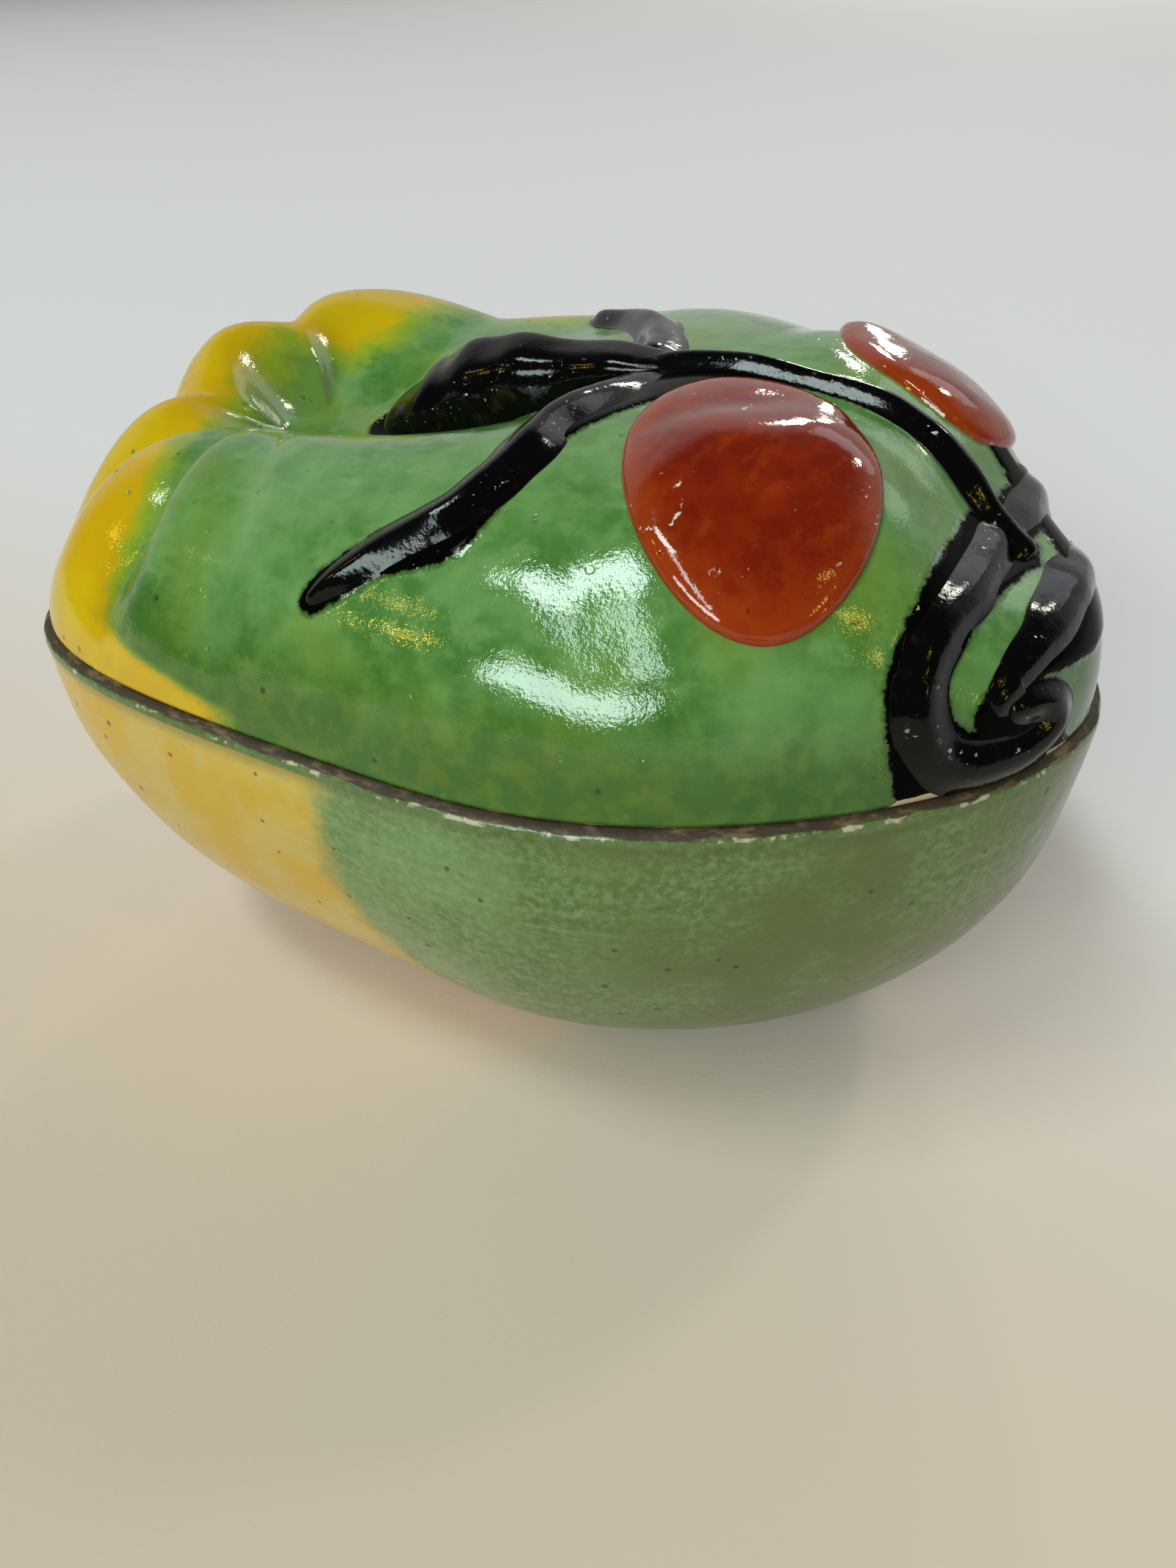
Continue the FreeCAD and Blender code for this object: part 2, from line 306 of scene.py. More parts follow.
    def bowl(self, theta: np.ndarray, alpha: np.ndarray, skin: float = 0.0,
             floor: float = 0.0) -> np.ndarray:
        """Point of the bowl's skin, with the same arguments as the lid, alpha running downwards.

        Args:
            theta: angle round the gourd.
            alpha: angle from the joint down.
            skin: how far the point stands in from the skin, mm.
            floor: how far it stands up from the bottom, mm.

        Returns:
            Points, mm.
        """
        theta, alpha = np.broadcast_arrays(theta, alpha)
        out, down = superellipse(alpha,
                                 self.belly_fullness + self.belly_end_fullness * self.lean(theta) ** 2)
        r = self.rim_radius(theta, skin) * out
        x = self.widest_x + r * np.cos(theta)
        deepest = self.rim_height + self.foot_trim - floor
        depth = deepest * down * (1.0 + self.belly_lean * x / self.half_length)
        shift = self.belly_shift * np.sin(alpha) ** 2
        return np.stack([x + shift, r * np.sin(theta), self.rim_height - depth], -1)

    def at_angles(self, bearing: np.ndarray, rise: np.ndarray) -> tuple[np.ndarray, np.ndarray]:
        """Points of the lid and its outward normals.

        Args:
            bearing: degrees round the lid.
            rise: degrees up the lid.

        Returns:
            Points and unit normals.
        """
        t, a = np.radians(bearing), np.radians(rise)
        around = self.lid(t + 0.01, a) - self.lid(t - 0.01, a)
        upward = self.lid(t, a + 0.01) - self.lid(t, a - 0.01)
        return self.lid(t, a), unit(np.cross(around, upward))

    def on_lid(self, x: np.ndarray, y: np.ndarray) -> np.ndarray:
        """Points of the lid over points of the plan.

        Args:
            x: along the gourd, mm.
            y: across it.

        Returns:
            Points, mm.
        """
        theta = np.arctan2(y, x - self.widest_x)
        want = np.hypot(x - self.widest_x, y)
        low, high = np.zeros_like(want), np.full_like(want, math.pi / 2.0)
        for _ in range(36):
            mid = (low + high) / 2.0
            p = self.lid(theta, mid)
            outside = np.hypot(p[..., 0] - self.widest_x, p[..., 1]) > want
            low, high = np.where(outside, mid, low), np.where(outside, high, mid)
        return self.lid(theta, (low + high) / 2.0)

    def over_plan(self, station: np.ndarray, offset: np.ndarray) -> tuple[np.ndarray, np.ndarray]:
        """Points of the lid over places in the plan, and its outward normals.

        Args:
            station: share of half the length.
            offset: share of half the width.

        Returns:
            Points and unit normals.
        """
        x, y = station * self.half_length, offset * self.half_width
        along = self.on_lid(x + 0.4, y) - self.on_lid(x - 0.4, y)
        across = self.on_lid(x, y + 0.4) - self.on_lid(x, y - 0.4)
        return self.on_lid(x, y), unit(np.cross(along, across))

    def place(self, laying: Laying, run: np.ndarray) -> tuple[np.ndarray, np.ndarray]:
        """Points and normals along a run laid out either way.

        Args:
            laying: how the run is given.
            run: its stops, one a row.

        Returns:
            Points, and outward normals of the lid.
        """
        if laying is Laying.PLAN:
            return self.over_plan(run[:, 0], run[:, 1])
        return self.at_angles(run[:, 0], run[:, 1])


FORM = GourdForm()


def skin_object(name: str, rows: np.ndarray, marks: dict[str, np.ndarray], first: bool,
                last: bool) -> bpy.types.Object:
    """Mesh through closed rings.

    Args:
        name: the piece's name.
        rows: rings by points by 3, mm.
        marks: values carried at every point, rings by points.
        first: the first ring is one point.
        last: the last ring is one point.

    Returns:
        The smooth-shaded mesh, facing outwards.
    """
    rings, columns = rows.shape[:2]
    keep = np.ones((rings, columns), bool)
    keep[0, 1:] = not first
    keep[-1, 1:] = not last
    index = np.cumsum(keep.ravel()).reshape(rings, columns) - 1
    if first:
        index[0] = index[0, 0]
    if last:
        index[-1] = index[-1, 0]
    a, b = index[:-1], np.roll(index[:-1], -1, axis=1)
    c, d = np.roll(index[1:], -1, axis=1), index[1:]
    quads = np.stack([a, b, c, d], -1).reshape(-1, 4)
    points = rows[keep]
    tri = np.concatenate([quads[:, [0, 1, 2]], quads[:, [0, 2, 3]]])
    p, q, r = points[tri[:, 0]], points[tri[:, 1]], points[tri[:, 2]]
    if np.einsum("ij,ij->", p, np.cross(q, r)) < 0:
        quads = quads[:, ::-1]
    faces = [list(dict.fromkeys(f)) for f in quads.tolist()]
    mesh = bpy.data.meshes.new(name)
    mesh.from_pydata((points * MM).tolist(), [], [f for f in faces if len(f) > 2])
    for mark, values in marks.items():
        layer = mesh.attributes.new(mark, "FLOAT", "POINT")
        layer.data.foreach_set("value", np.ascontiguousarray(values[keep], np.float32))
    mesh.validate()
    mesh.shade_smooth()
    made = bpy.data.objects.new(name, mesh)
    bpy.context.scene.collection.objects.link(made)
    return made


class Board:
    """A material being put together, with short ways to add its nodes."""

    def __init__(self, name: str) -> None:
        """Start an empty material with a shader and its output.

        Args:
            name: what the material is called.
        """
        self.material = bpy.data.materials.new(name)
        self.material.use_nodes = True
        self.tree = self.material.node_tree
        self.tree.nodes.clear()
        self.shader = self.tree.nodes.new("ShaderNodeBsdfPrincipled")
        output = self.tree.nodes.new("ShaderNodeOutputMaterial")
        self.tree.links.new(self.shader.outputs[0], output.inputs[0])
        coords = self.tree.nodes.new("ShaderNodeTexCoord")
        self.place = self.vector("SCALE", coords.outputs["Object"], scale=1.0 / MM)

    def set(self, socket: bpy.types.NodeSocket, value: object) -> None:
        """Link a socket to another, or give it a value.

        Args:
            socket: where it goes.
            value: another socket, a colour or a number.
        """
        if isinstance(value, bpy.types.NodeSocket):
            self.tree.links.new(value, socket)
        elif isinstance(value, tuple) and len(value) == 3 and socket.type == "RGBA":
            socket.default_value = (*value, 1.0)
        else:
            socket.default_value = value

    def vector(self, operation: str, a: object, b: object = None,
               scale: float = 1.0) -> bpy.types.NodeSocket:
        """Vector arithmetic.

        Args:
            operation: the node's operation.
            a: first vector.
            b: second vector, if any.
            scale: factor, for scaling.

        Returns:
            The result.
        """
        node = self.tree.nodes.new("ShaderNodeVectorMath")
        node.operation = operation
        self.set(node.inputs[0], a)
        if b is not None:
            self.set(node.inputs[1], b)
        if operation == "SCALE":
            node.inputs["Scale"].default_value = scale
        return node.outputs[0]

    def math(self, operation: str, a: object, b: object = 0.0, clamp: bool = False) -> bpy.types.NodeSocket:
        """Arithmetic on two values.

        Args:
            operation: the node's operation.
            a: first value.
            b: second value.
            clamp: keep the result between 0 and 1.

        Returns:
            The result.
        """
        node = self.tree.nodes.new("ShaderNodeMath")
        node.operation = operation
        node.use_clamp = clamp
        self.set(node.inputs[0], a)
        self.set(node.inputs[1], b)
        return node.outputs[0]

    def mark(self, name: str) -> bpy.types.NodeSocket:
        """A value carried by the mesh.

        Args:
            name: the mark's name.

        Returns:
            The value.
        """
        node = self.tree.nodes.new("ShaderNodeAttribute")
        node.attribute_name = name
        return node.outputs["Fac"]

    def noise(self, size: float, detail: float = 3.0, rough: float = 0.55, stretch: tuple = (1.0, 1.0, 1.0),
              shift: float = 0.0) -> bpy.types.NodeSocket:
        """Cloudy value.

        Args:
            size: rough size of a cloud, mm.
            detail: how many finer layers it has.
            rough: how strong they are.
            stretch: how many times longer it is along each axis.
            shift: moves to another part of the pattern.

        Returns:
            The value, about 0.3 to 0.7.
        """
        node = self.tree.nodes.new("ShaderNodeTexNoise")
        scale = tuple(1.0 / (size * s) for s in stretch)
        moved = self.vector("ADD", self.vector("MULTIPLY", self.place, scale), (shift, shift * 0.7, -shift))
        self.set(node.inputs["Vector"], moved)
        node.inputs["Scale"].default_value = 1.0
        node.inputs["Detail"].default_value = detail
        node.inputs["Roughness"].default_value = rough
        return node.outputs["Fac"]

    def dots(self, size: float, radius: float, shift: float = 0.0) -> bpy.types.NodeSocket:
        """1 inside scattered round specks, 0 outside.

        Args:
            size: spacing of the specks, mm.
            radius: their size as a share of the spacing.
            shift: moves to another part of the pattern.

        Returns:
            The value.
        """
        node = self.tree.nodes.new("ShaderNodeTexVoronoi")
        scaled = self.vector("SCALE", self.place, scale=1.0 / size)
        moved = self.vector("ADD", scaled, (shift, -shift, shift * 0.3))
        self.set(node.inputs["Vector"], moved)
        node.inputs["Scale"].default_value = 1.0
        wobble = self.math("MULTIPLY", self.noise(size * 0.5, 2.0, shift=shift + 3.0), radius * 1.6)
        return self.step(self.math("SUBTRACT", wobble, node.outputs["Distance"]), 0.0, 0.05)

    def step(self, value: object, low: float, high: float) -> bpy.types.NodeSocket:
        """Soft step from 0 at low to 1 at high.

        Args:
            value: what is tested.
            low: where the step starts.
            high: where it ends; below low, the step falls.

        Returns:
            The share.
        """
        node = self.tree.nodes.new("ShaderNodeMapRange")
        node.interpolation_type = "SMOOTHSTEP"
        self.set(node.inputs["Value"], value)
        node.inputs["From Min"].default_value = low
        node.inputs["From Max"].default_value = high
        return node.outputs["Result"]

    def mix(self, share: object, a: object, b: object) -> bpy.types.NodeSocket:
        """Colour a where share is 0, colour b where it is 1.

        Args:
            share: from 0 to 1.
            a: first colour.
            b: second colour.

        Returns:
            The colour.
        """
        node = self.tree.nodes.new("ShaderNodeMix")
        node.data_type = "RGBA"
        self.set(node.inputs["Factor"], share)
        self.set(node.inputs[6], a)
        self.set(node.inputs[7], b)
        return node.outputs[2]

    def blend(self, share: object, a: float, b: float) -> bpy.types.NodeSocket:
        """Value a where share is 0, value b where it is 1.

        Args:
            share: from 0 to 1.
            a: first value.
            b: second value.

        Returns:
            The value.
        """
        node = self.tree.nodes.new("ShaderNodeMapRange")
        self.set(node.inputs["Value"], share)
        self.set(node.inputs["To Min"], a)
        self.set(node.inputs["To Max"], b)
        return node.outputs["Result"]

    def either(self, *shares: object) -> bpy.types.NodeSocket:
        """The largest of some values.

        Args:
            shares: the values.

        Returns:
            The largest.
        """
        total = shares[0]
        for share in shares[1:]:
            total = self.math("MAXIMUM", total, share)
        return total

    def finish(self, colour: object, rough: object, height: object, depth: float) -> bpy.types.Material:
        """Join the shader.

        Args:
            colour: base colour.
            rough: roughness.
            height: surface relief, mm for each unit of depth.
            depth: scale of the relief, mm.

        Returns:
            The material.
        """
        self.set(self.shader.inputs["Base Color"], colour)
        self.set(self.shader.inputs["Roughness"], rough)
        node = self.tree.nodes.new("ShaderNodeBump")
        node.inputs["Distance"].default_value = depth * MM
        self.set(node.inputs["Height"], height)
        self.set(self.shader.inputs["Normal"], node.outputs[0])
        return self.material


@dataclass(frozen=True)
class LidGlaze:
    """Copper-green glaze of the lid, running to yellow on the lobes, with black brushwork."""

    green: Colour = (0.135, 0.272, 0.082)
    deep: Colour = (0.058, 0.165, 0.030)
    pale: Colour = (0.190, 0.340, 0.105)
    olive: Colour = (0.150, 0.215, 0.018)
    lime: Colour = (0.260, 0.330, 0.020)
    yellow: Colour = (0.580, 0.375, 0.002)
    amber: Colour = (0.560, 0.320, 0.002)
    black: Colour = (0.0016, 0.0015, 0.0013)
    brown: Colour = (0.030, 0.018, 0.008)
    cream: Colour = (0.520, 0.400, 0.270)
    inner: Colour = (0.560, 0.500, 0.360)

    def quiet(self, b: Board, inked: bpy.types.NodeSocket) -> None:
        """Make the black painting mirror the room less than the coloured glaze does.

        Args:
            b: the material being made.
            inked: 1 in the black painting.
        """
        dull = b.tree.nodes.new("ShaderNodeBsdfPrincipled")
        dull.inputs["Base Color"].default_value = (*self.black, 1.0)
        dull.inputs["Roughness"].default_value = 0.1
        dull.inputs["Specular IOR Level"].default_value = 0.02
        join = b.tree.nodes.new("ShaderNodeMixShader")
        b.set(join.inputs[0], inked)
        b.set(join.inputs[1], b.shader.outputs[0])
        b.set(join.inputs[2], dull.outputs[0])
        output = next(n for n in b.tree.nodes if n.type == "OUTPUT_MATERIAL")
        b.set(output.inputs[0], join.outputs[0])

    def material(self) -> bpy.types.Material:
        """The finished material.

        Returns:
            The material.
        """
        b = Board("lid_glaze")
        cloud, fine = b.noise(9.0, 4.0), b.noise(2.6, 4.0, 0.6, shift=5.0)
        brush = b.noise(1.3, 3.0, 0.6, (9.0, 2.2, 2.2), shift=11.0)
        colour = b.mix(b.step(cloud, 0.28, 0.68), self.deep, self.green)
        colour = b.mix(b.math("MULTIPLY", b.step(fine, 0.40, 0.72), 0.7), colour,
                       b.mix(0.45, self.green, self.pale))
        colour = b.mix(b.math("MULTIPLY", b.step(brush, 0.52, 0.74), 0.45), colour, self.pale)
        patch = b.step(b.noise(22.0, 2.0, shift=2.0), 0.48, 0.66)
        colour = b.mix(b.math("MULTIPLY", patch, 0.55), colour, self.olive)
        fade = b.math("ADD", b.mark("fade"), b.math("MULTIPLY", b.math("SUBTRACT", fine, 0.5), 0.35))
        fade = b.math("ADD", fade, b.math("MULTIPLY", b.math("SUBTRACT", brush, 0.5), 0.3))
        colour = b.mix(b.step(fade, 0.10, 0.5), colour, self.lime)
        gold = b.mix(b.step(b.noise(14.0, 3.0, shift=7.0), 0.42, 0.62), self.yellow, self.amber)
        colour = b.mix(b.step(fade, 0.42, 0.74), colour, gold)
        # Darker green low on the lid, towards the joint, but not on the yellow lobes.
        low_darkening = b.math("MULTIPLY",
                      b.step(b.math("ADD", b.mark("drop"), b.math("MULTIPLY", cloud, 8.0)), 20.0, 8.0),
                      b.math("SUBTRACT", 1.0, fade, True))
        colour = b.mix(b.math("MULTIPLY", low_darkening, 0.85), colour,
                       b.mix(b.step(fine, 0.4, 0.62), (0.030, 0.100, 0.012), (0.060, 0.125, 0.010)))
        specks = b.math("MULTIPLY", b.dots(3.1, 0.17, 1.0),
                        b.step(b.noise(12.0, 2.0, shift=21.0), 0.42, 0.6))
        colour = b.mix(b.math("MULTIPLY", specks, 0.75), colour, self.deep)
        grit = b.math("MULTIPLY", b.dots(6.5, 0.10, 8.0), 0.85)
        colour = b.mix(grit, colour, self.brown)
        edge = b.math("ADD", b.mark("ink"),
                      b.math("MULTIPLY", b.math("SUBTRACT", b.noise(1.1, 4.0, 0.65, shift=4.0), 0.5), 1.5))
        colour = b.mix(b.step(edge, 0.75, 0.1), colour, b.mix(0.5, self.deep, self.brown))
        inked = b.step(edge, 0.22, -0.12)
        black = b.mix(b.step(b.noise(1.6, 3.0, shift=9.0), 0.58, 0.72), self.black, self.brown)
        colour = b.mix(inked, colour, black)
        chips = b.math("MULTIPLY", b.step(b.noise(0.9, 3.0, 0.6, shift=31.0), 0.66, 0.69),
                       b.step(b.noise(7.0, 1.0, shift=33.0), 0.54, 0.6))
        rub = b.math("MULTIPLY", chips, b.step(b.math("ABSOLUTE", edge), 1.6, 0.2))
        low = b.math("ADD", b.mark("drop"), b.math("MULTIPLY", b.noise(3.0, 3.0, 0.6, shift=13.0), 1.1))
        worn = b.step(b.math("SUBTRACT", low, b.math("MULTIPLY", inked, 1.0)), 0.80, 0.66)
        bare = b.either(rub, worn)
        stain = b.mix(b.step(b.noise(2.2, 3.0, shift=17.0), 0.36, 0.52), (0.14, 0.10, 0.055), self.cream)
        stain = b.mix(b.math("MULTIPLY", inked, 0.85), stain, self.cream)
        colour = b.mix(worn, colour, stain)
        colour = b.mix(rub, colour, self.cream)
        inside = b.mark("inside")
        wash = b.mix(b.step(b.noise(7.0, 3.0, shift=40.0), 0.35, 0.7), self.inner, (0.44, 0.37, 0.25))
        wash = b.mix(b.math("MULTIPLY", b.dots(9.0, 0.07, 50.0), 0.8), wash, self.brown)
        colour = b.mix(inside, colour, wash)
        self.quiet(b, b.math("MULTIPLY", inked, b.math("SUBTRACT", 1.0, b.either(bare, inside))))
        rim = b.mark("flange")
        colour = b.mix(rim, colour,
                       b.mix(b.step(b.noise(1.8, 4.0, shift=44.0), 0.4, 0.65), (0.36, 0.25, 0.15),
                             (0.16, 0.09, 0.045)))
        rough = b.blend(b.either(bare, rim), 0.015, 0.62)
        rough = b.math("ADD", rough, b.math("MULTIPLY", b.noise(5.0, 3.0, shift=50.0), 0.03))
        height = b.math("ADD", b.math("MULTIPLY", b.noise(2.4, 2.0, 0.5, shift=60.0), 0.6),
                        b.math("MULTIPLY", b.noise(0.42, 2.0, 0.6, shift=61.0), 0.32))
        height = b.math("SUBTRACT", height, b.math("MULTIPLY", b.either(bare, specks), 0.5))
        return b.finish(colour, rough, height, 0.075)


@dataclass(frozen=True)
class BowlGlaze:
    """Softer sage-green glaze of the bowl, ochre at the lobed end, bare brown rim and foot, a worn cream
    lip with a painted highlight.
    """

    sage: Colour = (0.140, 0.235, 0.075)
    moss: Colour = (0.085, 0.145, 0.034)
    grey: Colour = (0.225, 0.330, 0.150)
    ochre: Colour = (0.560, 0.330, 0.014)
    straw: Colour = (0.540, 0.380, 0.080)
    olive: Colour = (0.078, 0.105, 0.016)
    brown: Colour = (0.055, 0.033, 0.014)
    tan: Colour = (0.330, 0.215, 0.110)
    cream: Colour = (0.560, 0.480, 0.350)

    def material(self) -> bpy.types.Material:
        """The finished material.

        Returns:
            The material.
        """
        b = Board("bowl_glaze")
        cloud, fine = b.noise(13.0, 4.0, 0.6), b.noise(0.9, 3.0, 0.6, shift=5.0)
        brush = b.noise(0.9, 3.0, 0.6, (14.0, 14.0, 1.2), shift=3.0)
        colour = b.mix(b.step(cloud, 0.36, 0.64), self.moss, self.sage)
        colour = b.mix(b.math("MULTIPLY", b.step(fine, 0.38, 0.70), 0.55), colour, self.grey)
        colour = b.mix(b.math("MULTIPLY", b.step(brush, 0.5, 0.72), 0.35), colour, self.grey)
        colour = b.mix(b.math("MULTIPLY", b.dots(2.0, 0.2, 2.0), 0.5), colour, self.moss)
        fade = b.math("ADD", b.mark("fade"),
                      b.math("MULTIPLY", b.math("SUBTRACT", b.noise(5.0, 4.0, 0.6, shift=8.0), 0.5), 0.5))
        gold = b.mix(b.step(b.noise(9.0, 4.0, shift=7.0), 0.4, 0.62), self.ochre, self.straw)
        gold = b.mix(b.math("MULTIPLY", b.step(brush, 0.5, 0.75), 0.4), gold, self.straw)
        front = b.math("MULTIPLY", b.mark("front"), b.step(cloud, 0.30, 0.60))
        colour = b.mix(b.math("MULTIPLY", front, 0.8), colour, self.olive)
        colour = b.mix(b.step(fade, 0.25, 0.7), colour, gold)
        specks = b.math("MULTIPLY", b.dots(4.2, 0.13, 6.0), 0.8)
        colour = b.mix(specks, colour, self.brown)
        ragged = b.math("MULTIPLY", b.math("SUBTRACT", b.noise(4.0, 4.0, 0.6, shift=14.0), 0.5), 0.9)
        drop = b.math("ADD", b.mark("drop"), ragged)
        colour = b.mix(b.math("MULTIPLY", b.step(drop, 3.4, 1.2), 0.5), colour,
                       b.mix(0.5, self.moss, self.brown))
        bare = b.step(drop, 0.52, 0.34)
        stain = b.mix(b.step(b.noise(0.9, 4.0, 0.65, (4.0, 4.0, 0.6), shift=17.0), 0.46, 0.66),
                      (0.040, 0.024, 0.010), (0.150, 0.095, 0.045))
        colour = b.mix(bare, colour, stain)
        # Cream patches on the lip's rounded outer corner: worn glaze, and a painted highlight along the
        # edge.
        lip = b.math("MULTIPLY", b.step(b.noise(2.4, 3.0, shift=18.0), 0.52, 0.6),
                     b.step(b.math("ABSOLUTE", b.math("SUBTRACT", drop, 0.62)), 0.30, 0.1))
        colour = b.mix(b.math("MULTIPLY", lip, 0.8), colour, self.cream)
        wash = b.mix(b.step(b.noise(8.0, 3.0, shift=40.0), 0.35, 0.7), (0.56, 0.50, 0.36),
                     (0.42, 0.36, 0.24))
        colour = b.mix(b.mark("inside"), colour, wash)
        foot = b.mark("foot")
        colour = b.mix(foot, colour,
                       b.mix(b.step(b.noise(3.0, 4.0, shift=45.0), 0.4, 0.65), self.tan,
                             (0.46, 0.35, 0.22)))
        rough = b.blend(b.either(bare, foot), 0.13, 0.6)
        rough = b.math("ADD", rough, b.math("MULTIPLY", b.noise(3.0, 3.0, shift=50.0), 0.16))
        height = b.math("ADD", b.noise(2.2, 3.0, 0.55, shift=60.0),
                        b.math("MULTIPLY", b.noise(0.5, 2.0, shift=61.0), 0.2))
        height = b.math("SUBTRACT", height, b.math("MULTIPLY", b.either(bare, specks), 0.5))
        return b.finish(colour, rough, height, 0.14)


@dataclass(frozen=True)
class TwigGlaze:
    """Thick black glaze over raised clay, chipped to white along its edges."""

    black: Colour = (0.0016, 0.0015, 0.0014)
    brown: Colour = (0.012, 0.007, 0.004)
    chip: Colour = (0.520, 0.500, 0.440)

    def material(self) -> bpy.types.Material:
        """The finished material.

        Returns:
            The material.
        """
        b = Board("twig_glaze")
        b.shader.inputs["Specular IOR Level"].default_value = 0.22
        colour = b.mix(b.step(b.noise(1.8, 4.0, 0.6, shift=2.0), 0.58, 0.76), self.black, self.brown)
        ridge = b.mark("ridge")
        shoulder = b.step(b.math("ABSOLUTE", b.math("SUBTRACT", ridge, 0.62)), 0.34, 0.06)
        chips = b.math("MULTIPLY", b.step(b.noise(0.6, 3.0, 0.6, (1.6, 1.6, 1.0), shift=5.0), 0.64, 0.665),
                       b.step(b.noise(6.0, 2.0, shift=7.0), 0.52, 0.58))
        chips = b.math("MULTIPLY", chips, shoulder)
        scratch = b.math("MULTIPLY",
                         b.step(b.noise(0.35, 2.0, 0.5, (1.0, 5.0, 1.0), shift=9.0), 0.74, 0.77), 0.35)
        chips = b.either(chips,
                         b.math("MULTIPLY", scratch, b.step(b.noise(9.0, 1.0, shift=15.0), 0.52, 0.6)))
        colour = b.mix(chips, colour, self.chip)
        rough = b.math("ADD", b.blend(chips, 0.04, 0.6),
                       b.math("MULTIPLY", b.noise(2.5, 3.0, shift=50.0), 0.09))
        height = b.math("ADD", b.math("MULTIPLY", b.noise(2.2, 2.0, 0.5, shift=60.0), 0.8),
                        b.math("MULTIPLY", b.noise(0.4, 2.0, shift=61.0), 0.2))
        return b.finish(colour, rough, b.math("SUBTRACT", height, b.math("MULTIPLY", chips, 0.6)), 0.08)


@dataclass(frozen=True)
class BerryGlaze:
    """Iron-red glaze, thinner and more orange on the rolled edge, with small white chips."""

    red: Colour = (0.225, 0.016, 0.001)
    dark: Colour = (0.165, 0.009, 0.001)
    orange: Colour = (0.330, 0.042, 0.004)
    chip: Colour = (0.620, 0.500, 0.400)

    def material(self) -> bpy.types.Material:
        """The finished material.

        Returns:
            The material.
        """
        b = Board("berry_glaze")
        colour = b.mix(b.step(b.noise(6.0, 4.0, 0.6), 0.38, 0.64), self.dark, self.red)
        brush = b.noise(1.2, 3.0, 0.6, (1.6, 6.0, 1.6), shift=6.0)
        ridge = b.math("ADD", b.mark("ridge"),
                       b.math("MULTIPLY", b.math("SUBTRACT", b.noise(2.0, 3.0, shift=3.0), 0.5), 0.5))
        colour = b.mix(b.math("MULTIPLY", b.step(brush, 0.5, 0.75), 0.5), colour, self.orange)
        colour = b.mix(b.math("MULTIPLY", b.step(ridge, 0.97, 0.6), 0.6), colour, self.orange)
        chips = b.math("MULTIPLY",
                       b.step(b.noise(1.0, 3.0, 0.6, (1.0, 2.0, 1.0), shift=12.0), 0.655, 0.675),
                       b.step(b.noise(7.0, 1.0, shift=14.0), 0.55, 0.62))
        colour = b.mix(chips, colour, self.chip)
        pits = b.math("MULTIPLY", b.dots(4.0, 0.09, 3.0), 0.8)
        colour = b.mix(pits, colour, self.dark)
        rough = b.math("ADD", b.blend(chips, 0.035, 0.6),
                       b.math("MULTIPLY", b.noise(3.0, 3.0, shift=50.0), 0.07))
        height = b.math("ADD", b.math("MULTIPLY", b.noise(2.6, 2.0, 0.5, shift=60.0), 0.7),
                        b.math("MULTIPLY", b.noise(0.45, 2.0, shift=61.0), 0.2))
        sunk = b.math("MULTIPLY", b.either(chips, pits), 0.5)
        return b.finish(colour, rough, b.math("SUBTRACT", height, sunk), 0.075)


@dataclass(frozen=True)
class Ground:
    """Plain pale ground, with painted light on it: a little warmer and darker in front, cooler behind."""

    near: Colour = (0.70, 0.55, 0.46)
    far: Colour = (0.730, 0.680, 0.715)

    def material(self) -> bpy.types.Material:
        """The finished material.

        Returns:
            The material.
        """
        b = Board("pale_ground")
        split = b.tree.nodes.new("ShaderNodeSeparateXYZ")
        b.set(split.inputs[0], b.place)
        # Painted light: a warm, darker tint in front of the box, a cool tint behind it.
        colour = b.mix(b.step(split.outputs[1], -70.0, 110.0), self.near, self.far)
        return b.finish(colour, 0.9, b.noise(0.6, 2.0), 0.02)


